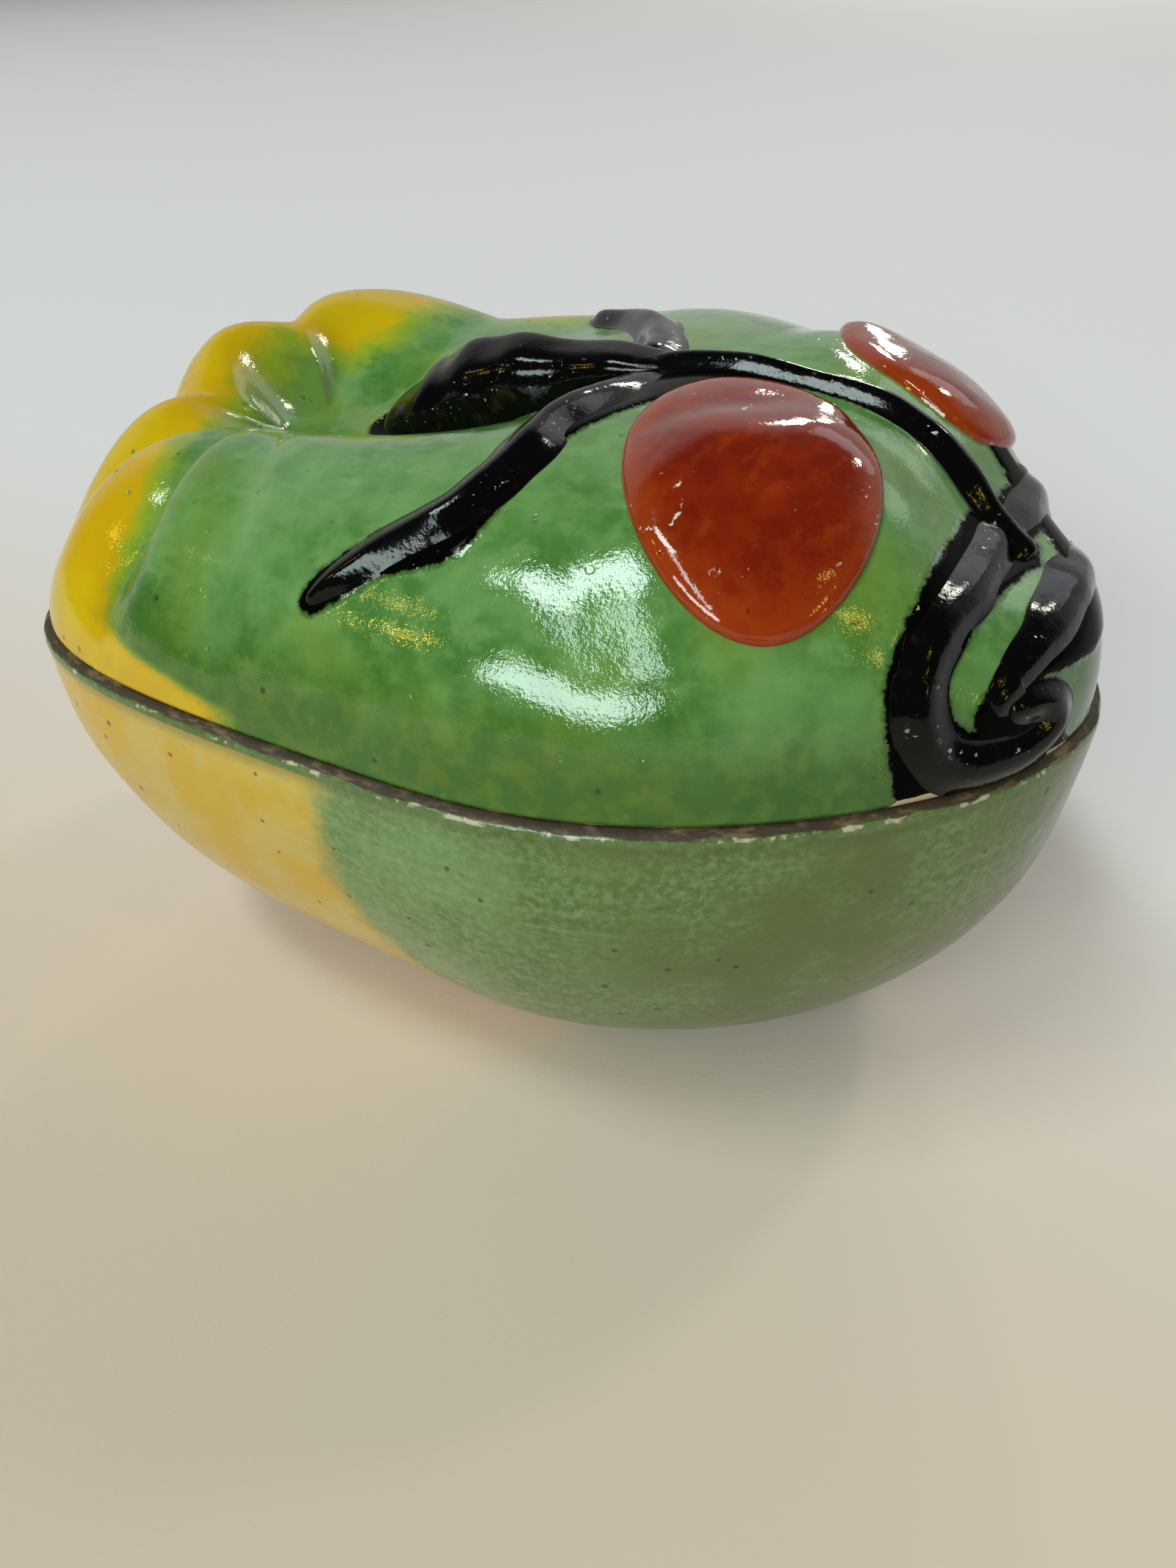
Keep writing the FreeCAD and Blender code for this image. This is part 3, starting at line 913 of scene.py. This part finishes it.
@dataclass(frozen=True)
class Strip:
    """A rounded strip of clay laid along the lid."""

    name: str
    run: Run
    laying: Laying
    half: Callable[[np.ndarray], np.ndarray]
    rise: Callable[[np.ndarray], np.ndarray]
    stations: int = 150
    sides: int = 40
    end: float = 0.08
    squareness: float = 2.0
    spread: float = 1.4
    tilt: float = 0.0
    seat: float = 0.9
    nib: float = 0.3
    seed: int = 1

    def line(self) -> tuple[np.ndarray, np.ndarray, np.ndarray, np.ndarray]:
        """Where the strip lies.

        Returns:
            Shares of its run, points of the lid, outward normals and half widths.
        """
        run = through(np.array(self.run), self.stations)
        points, normals = FORM.place(self.laying, run)
        t = np.linspace(0.0, 1.0, self.stations)
        u = np.minimum(np.minimum(t / self.end, (1.0 - t) / self.end), 1.0)
        body = self.nib + (1.0 - self.nib) * np.sqrt(np.maximum(1.0 - (1.0 - u) ** 2, 0.0))
        wobble = 1.0 + 0.05 * ripple(points, 7.0, self.seed)
        return t, points, normals, self.half(t) * body * wobble

    def section(self) -> tuple[np.ndarray, np.ndarray]:
        """Outline of the strip across its run.

        Returns:
            Distance out in half widths, and height: 0 to 1 above the lid, -1 to 0 in it.
        """
        top = int(self.sides * 0.72)
        if self.squareness > 2.5:
            out, up = superellipse(math.pi * np.arange(top) / top, self.squareness)
        else:
            out = np.cos(math.pi * np.arange(top) / top) * self.spread
            up = (1.0 - smooth(np.abs(out) / self.spread)) ** 0.8
        low = self.sides - top
        under, down = superellipse(math.pi + math.pi * np.arange(low) / low, 2.0)
        return np.concatenate([out, under * out[0]]), np.concatenate([up, down])

    def build(self) -> bpy.types.Object:
        """Make the strip's mesh, clear of the joint.

        Returns:
            The strip.
        """
        t, points, normals, half = self.line()
        side = unit(np.cross(normals, np.gradient(points, axis=0)))
        body = half / np.maximum(self.half(t), 1e-6)
        out, up = self.section()
        above = (self.rise(t) * body)[:, None] * (1.0 + self.tilt * out)
        lift = np.where(up >= 0, above, (self.seat * body)[:, None]) * up
        rows = points[:, None] + side[:, None] * (half[:, None] * out)[..., None]
        rows = rows + normals[:, None] * lift[..., None]
        if self.squareness <= 2.5:
            rows += normals[:, None] * self.sag(points, normals, rows)[..., None]
        rows += normals[:, None] * (0.05 * ripple(rows, 6.0, self.seed + 7) * np.maximum(up, 0.0))[...,
                                                                                                   None]
        rows[..., 2] = np.maximum(rows[..., 2], FORM.rim_height + 0.3)
        first, last = (rows[end].mean(1, keepdims=True).repeat(len(out), 1) for end in (slice(1),
                                                                                        slice(-1, None)))
        rows = np.concatenate([first, rows, last])
        ridge = np.broadcast_to(np.maximum(up, 0.0), rows.shape[:2])
        return skin_object(self.name, rows, {"ridge": ridge}, True, True)

    def sag(self, points: np.ndarray, normals: np.ndarray, rows: np.ndarray) -> np.ndarray:
        """How far the lid falls away beside the strip's middle, so its skirt follows the lid.

        Args:
            points: middle of the strip.
            normals: outward normals there.
            rows: the strip's rings.

        Returns:
            Heights to add along the normals, mm.
        """
        flat = rows.reshape(-1, 3)
        found = FORM.on_lid(flat[:, 0], flat[:, 1]).reshape(rows.shape)
        steep = np.abs(normals[:, 2])[:, None] > 0.45
        gap = ((found - points[:, None]) * normals[:, None]).sum(-1)
        return np.where(steep, np.clip(gap, -1.5, 0.6), 0.0)


@dataclass(frozen=True)
class Berry:
    """A flattened disc of clay with a rolled edge."""

    name: str
    station: float
    offset: float
    size: float = 1.0
    long: float = 19.0
    short: float = 12.4
    turn: float = -62.0
    rise: float = 1.9
    seat: float = 0.9
    roll: float = 3.5
    columns: int = 160
    rows: int = 56
    seed: int = 5

    def build(self) -> bpy.types.Object:
        """Make the berry's mesh.

        Returns:
            The berry.
        """
        spot, normal = FORM.over_plan(np.array([self.station]), np.array([self.offset]))
        spot, normal = spot[0], normal[0]
        turn = math.radians(self.turn)
        along = np.array([math.cos(turn), math.sin(turn), 0.0])
        along = unit(along - normal * (along @ normal))
        across = np.cross(normal, along)
        out, up = superellipse(math.pi * (np.linspace(0.0, 1.0, self.rows) - 0.5), self.roll)
        angle = 2.0 * math.pi * np.arange(self.columns) / self.columns
        u = self.long * self.size * out[:, None] * np.cos(angle)
        v = self.short * self.size * out[:, None] * np.sin(angle)
        start = spot + along * u[..., None] + across * v[..., None]
        x, y = start[..., 0].copy(), start[..., 1].copy()
        for _ in range(12):
            p = FORM.on_lid(x, y)
            miss = along * (u - (p - spot) @ along)[..., None] + across * (v - (p - spot) @ across)[...,
                                                                                                    None]
            x += miss[..., 0] * normal[2]
            y += miss[..., 1] * normal[2]
        top = up[:, None] * np.where(up[:, None] > 0, self.rise, self.seat)
        rows = p + normal * top[..., None]
        rows += normal * (0.10 * ripple(rows, 8.0, self.seed) * (up[:, None] > 0.3))[..., None]
        ridge = np.broadcast_to(np.maximum(up[:, None], 0.0), rows.shape[:2])
        return skin_object(self.name, rows, {"ridge": ridge}, True, True)


@dataclass
class Brushwork:
    """Black painting on the lid: under and beside the twig, and all round the scrolls."""

    strips: list[Strip]
    scroll: Run = ((0, 45), (-11, 43), (-21, 35), (-27, 25), (-28, 14), (-27, 3), (-27, -3), (-7, -3),
                   (-8, 6), (-12, 19), (-6, 18), (0, 17), (0, 31))
    slot: Run = ((1, 35), (0, 33), (-7, 31), (-15, 23), (-19, 17), (-19, 13), (-21, 16), (-21, 24),
                 (-13, 34), (-4, 37))
    hub: Run = ((-2, 3), (3, -15), (4, -26), (1, -34), (-7, -40), (0, -38), (7, -35), (9, -28), (10, -18),
                (17, -3), (25, 3), (33, 3), (33, 7), (20, 9), (6, 11))
    window: Run = ((9, 52), (5, 44), (3, 40), (7, 35), (10, 39), (13, 42), (12, 47))
    back_stroke: Run = ((20, 48), (17, 42), (14, 36), (4, 28))
    back_stroke_half: float = 2.3
    outline_points: int = 240
    margin: float = 0.35

    def region(self, bearing: np.ndarray, rise: np.ndarray, points: np.ndarray, edge: Run,
               plan: bool = False) -> np.ndarray:
        """Distance outside a closed outline on the lid.

        Args:
            bearing: of each point, degrees, or its place along the gourd.
            rise: of each point, degrees, or its place across it.
            points: the points, N by 3.
            edge: the outline.
            plan: the outline is drawn in plan, mm.

        Returns:
            Distances, mm, negative inside.
        """
        dense = through(np.array(edge, float), self.outline_points, True)
        line = FORM.on_lid(*dense.T) if plan else FORM.lid(*np.radians(dense.T))
        gap = nearest(points, line, np.zeros(len(line)))
        inside = np.zeros(len(points), bool)
        for (x0, y0), (x1, y1) in zip(dense[:-1], dense[1:]):
            crosses = (y0 > rise) != (y1 > rise)
            at = x0 + (rise - y0) * (x1 - x0) / (y1 - y0 if y1 != y0 else 1e-9)
            inside ^= crosses & (bearing < at)
        return np.where(inside, -gap, gap)

    def distance(self, bearing: np.ndarray, rise: np.ndarray, points: np.ndarray) -> np.ndarray:
        """Distance outside the black paint, mm, negative inside it.

        Args:
            bearing: of each point of the lid, degrees.
            rise: of each point, degrees.
            points: the points, mm.

        Returns:
            Distances, mm.
        """
        ink = np.full(len(points), 9.0)
        for strip in self.strips:
            _, line, _, half = strip.line()
            ink = np.minimum(ink, nearest(points, line, half + self.margin))
        ink = np.minimum(ink, self.region(points[:, 0], points[:, 1], points, self.hub, True))
        window = self.region(bearing, rise, points, self.window)
        for side in (self.region, self.mirrored):
            scroll, slot = (side(bearing, rise, points, edge) for edge in (self.scroll, self.slot))
            open_at = np.minimum(slot, window)
            ink = np.maximum(np.minimum(ink, np.maximum(scroll, -open_at)), -slot)
        stroke = FORM.lid(*np.radians(through(np.array(self.back_stroke, float), 60).T))
        ink = np.minimum(ink, nearest(points, stroke, np.full(len(stroke), self.back_stroke_half)))
        return np.clip(ink, -6.0, 9.0)

    def mirrored(self, bearing: np.ndarray, rise: np.ndarray, points: np.ndarray, edge: Run) -> np.ndarray:
        """The same as region, for the outline's reflection in the middle of the nose."""
        return self.region(bearing, rise, points, tuple((-a, b) for a, b in edge))


def steady(value: float) -> Callable[[np.ndarray], np.ndarray]:
    """The same value all along a run."""
    return lambda t: np.full_like(t, value)


def fill(parts: tuple[int, ...], columns: int, *values: np.ndarray | float) -> np.ndarray:
    """Marks for blocks of rows that follow one another.

    Args:
        parts: how many rows each block has.
        columns: how many points each row has.
        values: the mark of each block.

    Returns:
        One mark for each point.
    """
    return np.concatenate([np.broadcast_to(v, (n, columns)) for v, n in zip(values, parts)])


def fade_over(x: np.ndarray, y: np.ndarray, z: np.ndarray) -> np.ndarray:
    """How yellow the lid is: 1 on the lobes, 0 on the green body.

    Args:
        x: along the gourd, mm.
        y: across it.
        z: above the joint.

    Returns:
        Values from 0 to 1.
    """
    across = (-46, -39, -32, -9, 6, 17, 47)
    edge_at = (-34, -38, -38, -46, -50, -41, -34)
    edge = np.interp(y, across, edge_at) + 17.0 * smooth((6.5 - z) / 5.0)
    wide = 12.0 + 5.0 * smooth((y + 30.0) / 25.0)
    far = 0.85 * bump((x + 28.0) / 12.0) * bump((y - 38.0) / 7.0) * smooth((z - 8.0) / 10.0)
    return np.clip(np.maximum(smooth((edge - x) / wide + 0.5), far), 0.0, 1.0)


@dataclass
class Lid:
    """The domed lid: shell, brushwork and the clay laid on it."""

    columns: int = 900
    rise_rows: int = 250
    flange_out: float = 4.5
    flange_in: float = 6.7
    flange_drop: float = 3.5
    wall: float = 4.2
    stem_half: float = 1.5
    stem_rise: float = 1.7
    handle_half: float = 5.2
    handle_rise: float = 8.7
    twig_half: float = 2.6
    twig_rise: float = 2.2
    scroll_half: float = 2.5
    front_scroll_rise: float = 1.1
    back_scroll_rise: float = 0.8
    band_half: float = 1.8
    band_swell: float = 0.9
    band_rise: float = 0.8

    def strips(self) -> list[Strip]:
        """The twig, handle, scrolls and nose band.

        Returns:
            The strips, stem and handle first.
        """
        scroll: Run = (
            (1.5, 43.0), (-9.5, 39.5), (-19.2, 32.0), (-23.8, 24.0), (-24.4, 14.5), (-21.0, 6.6),
            (-14.0, 4.6),
            (-9.6, 9.0), (-11.4, 14.4), (-15.4, 15.6),
        )
        mirrored: Run = tuple((-a, b) for a, b in scroll)
        loop = dict(laying=Laying.ANGLES,
                    half=lambda t: self.scroll_half * (1.0 - 0.3 * smooth((t - 0.8) / 0.2)),
                    stations=260, end=0.05, spread=1.25)
        return [
            Strip("main_stem",
                  ((0.078, 0.10), (0.258, 0.12), (0.414, 0.11), (0.55, 0.095), (0.66, 0.065), (0.75, 0.035),
                   (0.84, 0.01)),
                  Laying.PLAN, lambda t: self.stem_half * (1.5 - 0.5 * smooth(2.5 * t) + 0.5 * t * t),
                  steady(self.stem_rise), end=0.05, seed=11),
            Strip("handle", ((-0.46, 0.075), (-0.31, 0.085), (-0.155, 0.095), (0.0, 0.10), (0.17, 0.115)),
                  Laying.PLAN, lambda t: self.handle_half * (1.0 - 0.45 * smooth((t - 0.4) / 0.6)),
                  lambda t: self.handle_rise * (0.55 + 0.45 * smooth(t / 0.35))
                  * (1.0 - 0.8 * smooth((t - 0.45) / 0.55)),
                  end=0.12, squareness=3.2, tilt=0.12, sides=64, seed=12),
            Strip("twig_front",
                  ((0.135, 0.12), (0.116, -0.10), (0.10, -0.30), (0.11, -0.50), (0.075, -0.65),
                   (-0.015, -0.765), (-0.11, -0.865)),
                  Laying.PLAN, lambda t: self.twig_half * (1.2 - 0.5 * t),
                  lambda t: self.twig_rise * (1.0 - 0.3 * t) * (0.35 + 0.65 * smooth(t / 0.3)), end=0.16,
                  seed=13),
            Strip("twig_back", ((0.11, 0.13), (0.06, 0.30), (-0.01, 0.47), (-0.115, 0.62), (-0.25, 0.74)),
                  Laying.PLAN, lambda t: self.twig_half * (1.15 - 0.55 * t),
                  lambda t: self.twig_rise * (1.0 - 0.3 * t), seed=14),
            Strip("scroll_front", scroll, rise=steady(self.front_scroll_rise), seed=15, **loop),
            Strip("scroll_back", mirrored, rise=steady(self.back_scroll_rise), seed=16, **loop),
            Strip("nose_band",
                  ((-17.2, 16.8), (-12.5, 22.5), (-7.0, 26.0), (0.0, 28.5), (7.0, 26.0), (12.5, 22.5),
                   (17.2, 16.8)),
                  Laying.ANGLES, lambda t: self.band_half + self.band_swell * np.sin(math.pi * t) ** 2,
                  steady(self.band_rise), end=0.1, seed=17),
        ]

    def berries(self) -> list[Berry]:
        """The two berries."""
        return [Berry("berry_front", 0.457, -0.355), Berry("berry_back", 0.54, 0.545, 0.93, seed=6)]

    def ring(self, theta: np.ndarray, inset: float, z: float) -> np.ndarray:
        """A level loop round the flange.

        Args:
            theta: angles round the gourd.
            inset: how far it stands in from the bowl's edge, mm.
            z: height over the joint, mm.

        Returns:
            The loop's points.
        """
        r = FORM.rim_radius(theta, inset)
        level = np.full_like(theta, FORM.rim_height + z)
        return np.stack([FORM.widest_x + r * np.cos(theta), r * np.sin(theta), level], -1)

    def shell(self, strips: list[Strip]) -> bpy.types.Object:
        """Make the lid's shell.

        Args:
            strips: the clay whose black painting spreads on the shell.

        Returns:
            The shell.
        """
        theta = 2.0 * math.pi * np.arange(self.columns) / self.columns
        alpha = math.pi / 2.0 * np.linspace(0.0, 1.0, self.rise_rows)[:, None] ** 1.08
        outer = FORM.lid(theta, alpha)
        bearing = np.broadcast_to((np.degrees(theta) + 180.0) % 360.0 - 180.0, outer.shape[:2])
        rise = np.broadcast_to(np.degrees(alpha), outer.shape[:2])
        ink = Brushwork(strips).distance(bearing.ravel(), rise.ravel(), outer.reshape(-1, 3))
        ink = ink.reshape(outer.shape[:2])
        normals = unit(np.cross(np.gradient(outer, axis=1), np.gradient(outer, axis=0)))
        lift = 0.10 * ripple(outer, 19.0, 3) + 0.012 * ripple(outer, 5.0, 4) - 0.08
        lift = lift + 0.28 * smooth((0.7 - ink) / 1.4)
        hold = smooth(rise / 3.0) * (1.0 - smooth((rise - 86.0) / 3.0))
        outer = outer + normals * (lift * hold)[..., None]
        height = outer[..., 2] - FORM.rim_height
        tuck = 0.8 * (1.0 - np.sqrt(1.0 - (1.0 - np.clip(height / 0.9, 0.0, 1.0)) ** 2 * 0.999))
        flat = unit(outer * np.array([1.0, 1.0, 0.0]) - np.array([FORM.widest_x, 0.0, 0.0]))
        outer = outer - flat * np.array([1.0, 1.0, 0.0]) * tuck[..., None]

        low = -self.flange_drop
        out_at, in_at = self.flange_out, self.flange_in
        steps = ((2.4, 0.02), (out_at - 0.2, 0.02), (out_at, -0.15), (out_at, low + 0.6),
                 (out_at + 0.15, low + 0.15), (out_at + 0.6, low), (in_at - 0.6, low),
                 (in_at - 0.15, low + 0.15), (in_at, low + 0.6), (in_at, -0.2))
        edge = [self.ring(theta, inset, z) for inset, z in steps]
        inner_rise = math.pi / 2.0 * np.linspace(0.02, 1.0, 90)[:, None]
        inner = FORM.lid(theta, inner_rise, self.flange_in - FORM.lid_inset, self.wall)
        rows = np.concatenate([outer[::-1], np.array(edge), inner])
        parts = (len(outer), len(edge), len(inner))

        marks = {
            "ink": fill(parts, self.columns, ink[::-1], 9.0, 9.0),
            "fade": fill(parts, self.columns, fade_over(outer[..., 0], outer[..., 1], height)[::-1], 0.0,
                         0.0),
            "drop": fill(parts, self.columns, height[::-1], 0.0, 9.0),
            "inside": fill(parts, self.columns, 0.0, 0.0, 1.0),
            "flange": fill(parts, self.columns, 0.0, 1.0, 0.0),
        }
        return skin_object("lid_shell_glazed", rows, marks, True, True)

    def build(self) -> None:
        """Make and dress every piece of the lid."""
        strips = self.strips()
        lid_finish, twig_finish = LidGlaze().material(), TwigGlaze().material()
        berry_finish = BerryGlaze().material()
        settle(self.shell(strips), "lid", "lid_shell", lid_finish)
        for strip in strips:
            made = strip.build()
            node, made.name = strip.name, strip.name + "_glazed"
            settle(made, "lid", node, twig_finish)
        for berry in self.berries():
            made = berry.build()
            made.name = berry.name + "_glazed"
            settle(made, "lid", berry.name, berry_finish)


@dataclass
class Bowl:
    """The boat-shaped bowl."""

    columns: int = 720
    wall: float = 4.0
    floor: float = 5.0

    def ring(self, theta: np.ndarray, inset: float, drop: float) -> np.ndarray:
        """A slightly uneven loop round the lip.

        Args:
            theta: angles round the gourd.
            inset: how far it stands in from the bowl's edge, mm.
            drop: depth under the joint, mm.

        Returns:
            The loop's points.
        """
        r = FORM.rim_radius(theta, inset)
        uneven = 0.12 * ripple(np.stack([r * np.cos(theta), r * np.sin(theta), 0 * r], -1), 9.0, 21)
        z = FORM.rim_height - drop - np.abs(uneven) * (drop > 0.005)
        return np.stack([FORM.widest_x + r * np.cos(theta), r * np.sin(theta), z], -1)

    def build(self) -> None:
        """Make and dress the bowl."""
        theta = 2.0 * math.pi * np.arange(self.columns) / self.columns
        alpha = math.pi / 2.0 * np.linspace(0.022, 1.0, 230)[:, None] ** 1.05
        outer = FORM.bowl(theta, alpha)
        normals = unit(np.cross(np.gradient(outer, axis=0), np.gradient(outer, axis=1)))
        sway = 0.10 * ripple(outer, 21.0, 8) + 0.015 * ripple(outer, 5.0, 9) - 0.08
        outer = outer + normals * (sway * smooth(np.degrees(alpha) / 5.0))[..., None]
        sunk = np.maximum(1.2 - outer[..., 2], 0.0)
        outer[..., 2] = np.where(outer[..., 2] < 1.2, np.maximum(1.2 - sunk * 0.9, 0.0), outer[..., 2])

        steps = ((0.02, 1.2), (0.06, 0.8), (0.2, 0.45), (0.45, 0.2), (0.8, 0.05), (1.2, 0.0),
                 (self.wall - 0.7, 0.0), (self.wall - 0.25, 0.1), (self.wall - 0.05, 0.4))
        lip = [self.ring(theta, inset, drop) for inset, drop in steps]
        lip_drop = np.array([drop if inset < self.wall / 2.0 else 0.0 for inset, drop in steps])
        inner = FORM.bowl(theta, math.pi / 2.0 * np.linspace(0.02, 1.0, 110)[:, None], self.wall,
                          self.floor + FORM.foot_trim)
        rows = np.concatenate([outer[::-1], np.array(lip), inner])
        parts = (len(outer), len(lip), len(inner))

        drop = FORM.rim_height - outer[..., 2]
        fade = smooth((-5.0 + 0.016 * (outer[..., 2] - 37.0) ** 2 - outer[..., 0]) / 20.0 + 0.45)
        front = smooth((outer[..., 0] - 8.0) / 30.0)
        foot = smooth((0.5 - outer[..., 2]) / 0.4)
        marks = {
            "drop": fill(parts, self.columns, drop[::-1], lip_drop[:, None], 9.0),
            "fade": fill(parts, self.columns, fade[::-1], 0.0, 0.0),
            "inside": fill(parts, self.columns, 0.0, 0.0, 1.0),
            "foot": fill(parts, self.columns, foot[::-1], 0.0, 0.0),
            "front": fill(parts, self.columns, front[::-1], 0.0, 0.0),
        }
        made = skin_object("base_bowl_glazed", rows, marks, True, True)
        settle(made, "bowl", "base_bowl", BowlGlaze().material())


def settle(piece: bpy.types.Object, body: str, node: str, finish: bpy.types.Material) -> None:
    """Dress a piece and fix it to its body.

    Args:
        piece: the mesh.
        body: the body it moves with.
        node: the solid it stands for.
        finish: its material.
    """
    piece.data.materials.append(finish)
    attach(piece, body)
    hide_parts(node)
    LOG.info("%s rides on %s, %d points", piece.name, body, len(piece.data.vertices))


@dataclass(frozen=True)
class Lamp:
    """A soft light, placed and sized by the angles it fills as seen from the box."""

    name: str
    azimuth: float
    elevation: float
    wide: float
    high: float
    radiance: float
    tint: Colour = (1.0, 1.0, 1.0)
    roll: float = 0.0
    distance: float = 5.0

    def build(self, target: Vector) -> None:
        """Hang the light, facing the box.

        Args:
            target: the middle of the box.
        """
        a, e, r = math.radians(self.azimuth), math.radians(self.elevation), math.radians(self.roll)
        way = Vector((math.cos(a) * math.cos(e), math.sin(a) * math.cos(e), math.sin(e)))
        east = Vector((-math.sin(a), math.cos(a), 0.0))
        up = way.cross(east)
        along, across = east * math.cos(r) + up * math.sin(r), up * math.cos(r) - east * math.sin(r)
        data = bpy.data.lights.new(self.name, "AREA")
        data.shape = "RECTANGLE"
        data.size = 2.0 * self.distance * math.tan(math.radians(self.wide) / 2.0)
        data.size_y = 2.0 * self.distance * math.tan(math.radians(self.high) / 2.0)
        data.energy = self.radiance * math.pi * data.size * data.size_y
        data.color = self.tint
        made = bpy.data.objects.new(self.name, data)
        turned = Matrix((along, across, way)).transposed().to_4x4()
        made.matrix_world = Matrix.Translation(target + way * self.distance) @ turned
        bpy.context.scene.collection.objects.link(made)


@dataclass
class Studio:
    """Ground, sky, lights and camera."""

    eye: tuple[float, float, float] = (0.0692, -0.1185, 0.1183)
    azimuth: float = 29.94
    pitch: float = 35.77
    roll: float = -1.10
    lens: float = 27.05
    sky: Colour = (0.50, 0.50, 0.49)
    sky_strength: float = 1.0
    dark: Colour = (0.05, 0.052, 0.056)
    bright_way: tuple[float, float, float] = (-0.37, 0.93, 0.0)

    def ground(self) -> None:
        """Lay the plain pale ground."""
        mesh = bpy.data.meshes.new("ground")
        mesh.from_pydata([(-14, -14, 0), (14, -14, 0), (14, 14, 0), (-14, 14, 0)], [], [(0, 1, 2, 3)])
        made = bpy.data.objects.new("ground", mesh)
        bpy.context.scene.collection.objects.link(made)
        mesh.materials.append(Ground().material())

    def lights(self) -> None:
        """Hang the window panes, the room lamps and the sky."""
        target = Vector((0.0, 0.0, 0.06))
        cool, cream, amber = (0.82, 1.0, 0.96), (1.0, 0.98, 0.84), (1.0, 0.66, 0.10)
        lamps = [
            Lamp("window_high", -126.0, 66.0, 22.0, 8.0, 19.0, cool),
            Lamp("window_edge", -85.0, 46.0, 36.0, 5.0, 12.0, cool, roll=-58.0),
            Lamp("window_low", -90.0, 24.0, 37.0, 11.0, 15.0, cool, roll=-27.0),
            Lamp("back_window_high", 105.0, 26.0, 3.0, 10.0, 26.0, cream),
            Lamp("back_window_low", 101.0, 13.0, 2.6, 11.0, 26.0, cream),
            Lamp("back_haze", 78.0, 34.0, 32.0, 18.0, 1.1, (0.9, 0.96, 1.0), roll=22.0),
            Lamp("scroll_window", 66.0, 44.0, 5.0, 6.0, 34.0, cream),
            Lamp("lamp_left_high", -140.0, 41.0, 3.0, 1.6, 30.0, amber),
            Lamp("lamp_left_low", -131.0, 31.0, 3.0, 3.0, 30.0, amber),
            Lamp("lamp_right_high", -11.0, 40.0, 2.4, 7.0, 14.0, amber),
            Lamp("lamp_right_low", -12.0, 24.0, 2.4, 5.0, 16.0, amber),
            Lamp("lamp_scroll", -4.0, 9.0, 2.0, 4.0, 14.0, amber),
        ]
        for lamp in lamps:
            lamp.build(target)
        self.room()

    def room(self) -> None:
        """Surround the stage with a room that is bright behind the box and dark in front."""
        world = bpy.data.worlds.new("room")
        world.use_nodes = True
        tree = world.node_tree
        coords, spread = tree.nodes.new("ShaderNodeTexCoord"), tree.nodes.new("ShaderNodeVectorMath")
        spread.operation = "DOT_PRODUCT"
        spread.inputs[1].default_value = Vector(self.bright_way).normalized()
        tree.links.new(coords.outputs["Generated"], spread.inputs[0])
        level = tree.nodes.new("ShaderNodeSeparateXYZ")
        tree.links.new(coords.outputs["Generated"], level.inputs[0])
        behind, below = tree.nodes.new("ShaderNodeMapRange"), tree.nodes.new("ShaderNodeMapRange")
        steps = ((behind, spread.outputs["Value"], 0.05, 0.5), (below, level.outputs[2], 0.84, 0.62))
        for node, value, low, high in steps:
            node.interpolation_type = "SMOOTHSTEP"
            node.inputs["From Min"].default_value, node.inputs["From Max"].default_value = low, high
            tree.links.new(value, node.inputs["Value"])
        both, ramp = tree.nodes.new("ShaderNodeMath"), tree.nodes.new("ShaderNodeMix")
        both.operation, ramp.data_type = "MULTIPLY", "RGBA"
        tree.links.new(behind.outputs["Result"], both.inputs[0])
        tree.links.new(below.outputs["Result"], both.inputs[1])
        tree.links.new(both.outputs[0], ramp.inputs["Factor"])
        ramp.inputs[6].default_value, ramp.inputs[7].default_value = (*self.dark, 1.0), (*self.sky, 1.0)
        background = tree.nodes["Background"]
        tree.links.new(ramp.outputs[2], background.inputs[0])
        background.inputs[1].default_value = self.sky_strength
        bpy.context.scene.world = world

    def camera(self) -> None:
        """Set up the camera."""
        a, p, r = (math.radians(v) for v in (self.azimuth, self.pitch, self.roll))
        ahead = Vector((-math.sin(a) * math.cos(p), math.cos(a) * math.cos(p), -math.sin(p)))
        right = Vector((math.cos(a), math.sin(a), 0.0))
        above = right.cross(ahead)
        right, above = right * math.cos(r) + above * math.sin(r), above * math.cos(r) - right * math.sin(r)
        data = bpy.data.cameras.new("camera")
        data.lens, data.sensor_width, data.sensor_fit = self.lens, 36.0, "AUTO"
        data.clip_start, data.clip_end = 0.01, 60.0
        made = bpy.data.objects.new("camera", data)
        turned = Matrix((right, above, -ahead)).transposed().to_4x4()
        made.matrix_world = Matrix.Translation(self.eye) @ turned
        bpy.context.scene.collection.objects.link(made)
        bpy.context.scene.camera = made

    def build(self) -> None:
        """Set the whole stage."""
        self.ground()
        self.lights()
        self.camera()
        bpy.context.scene.view_settings.view_transform = "Standard"


def main() -> None:
    """Build the box, then the stage."""
    logging.basicConfig(level=logging.INFO, format="%(message)s")
    Studio().build()
    Bowl().build()
    Lid().build()


if __name__ == "__main__":
    main()
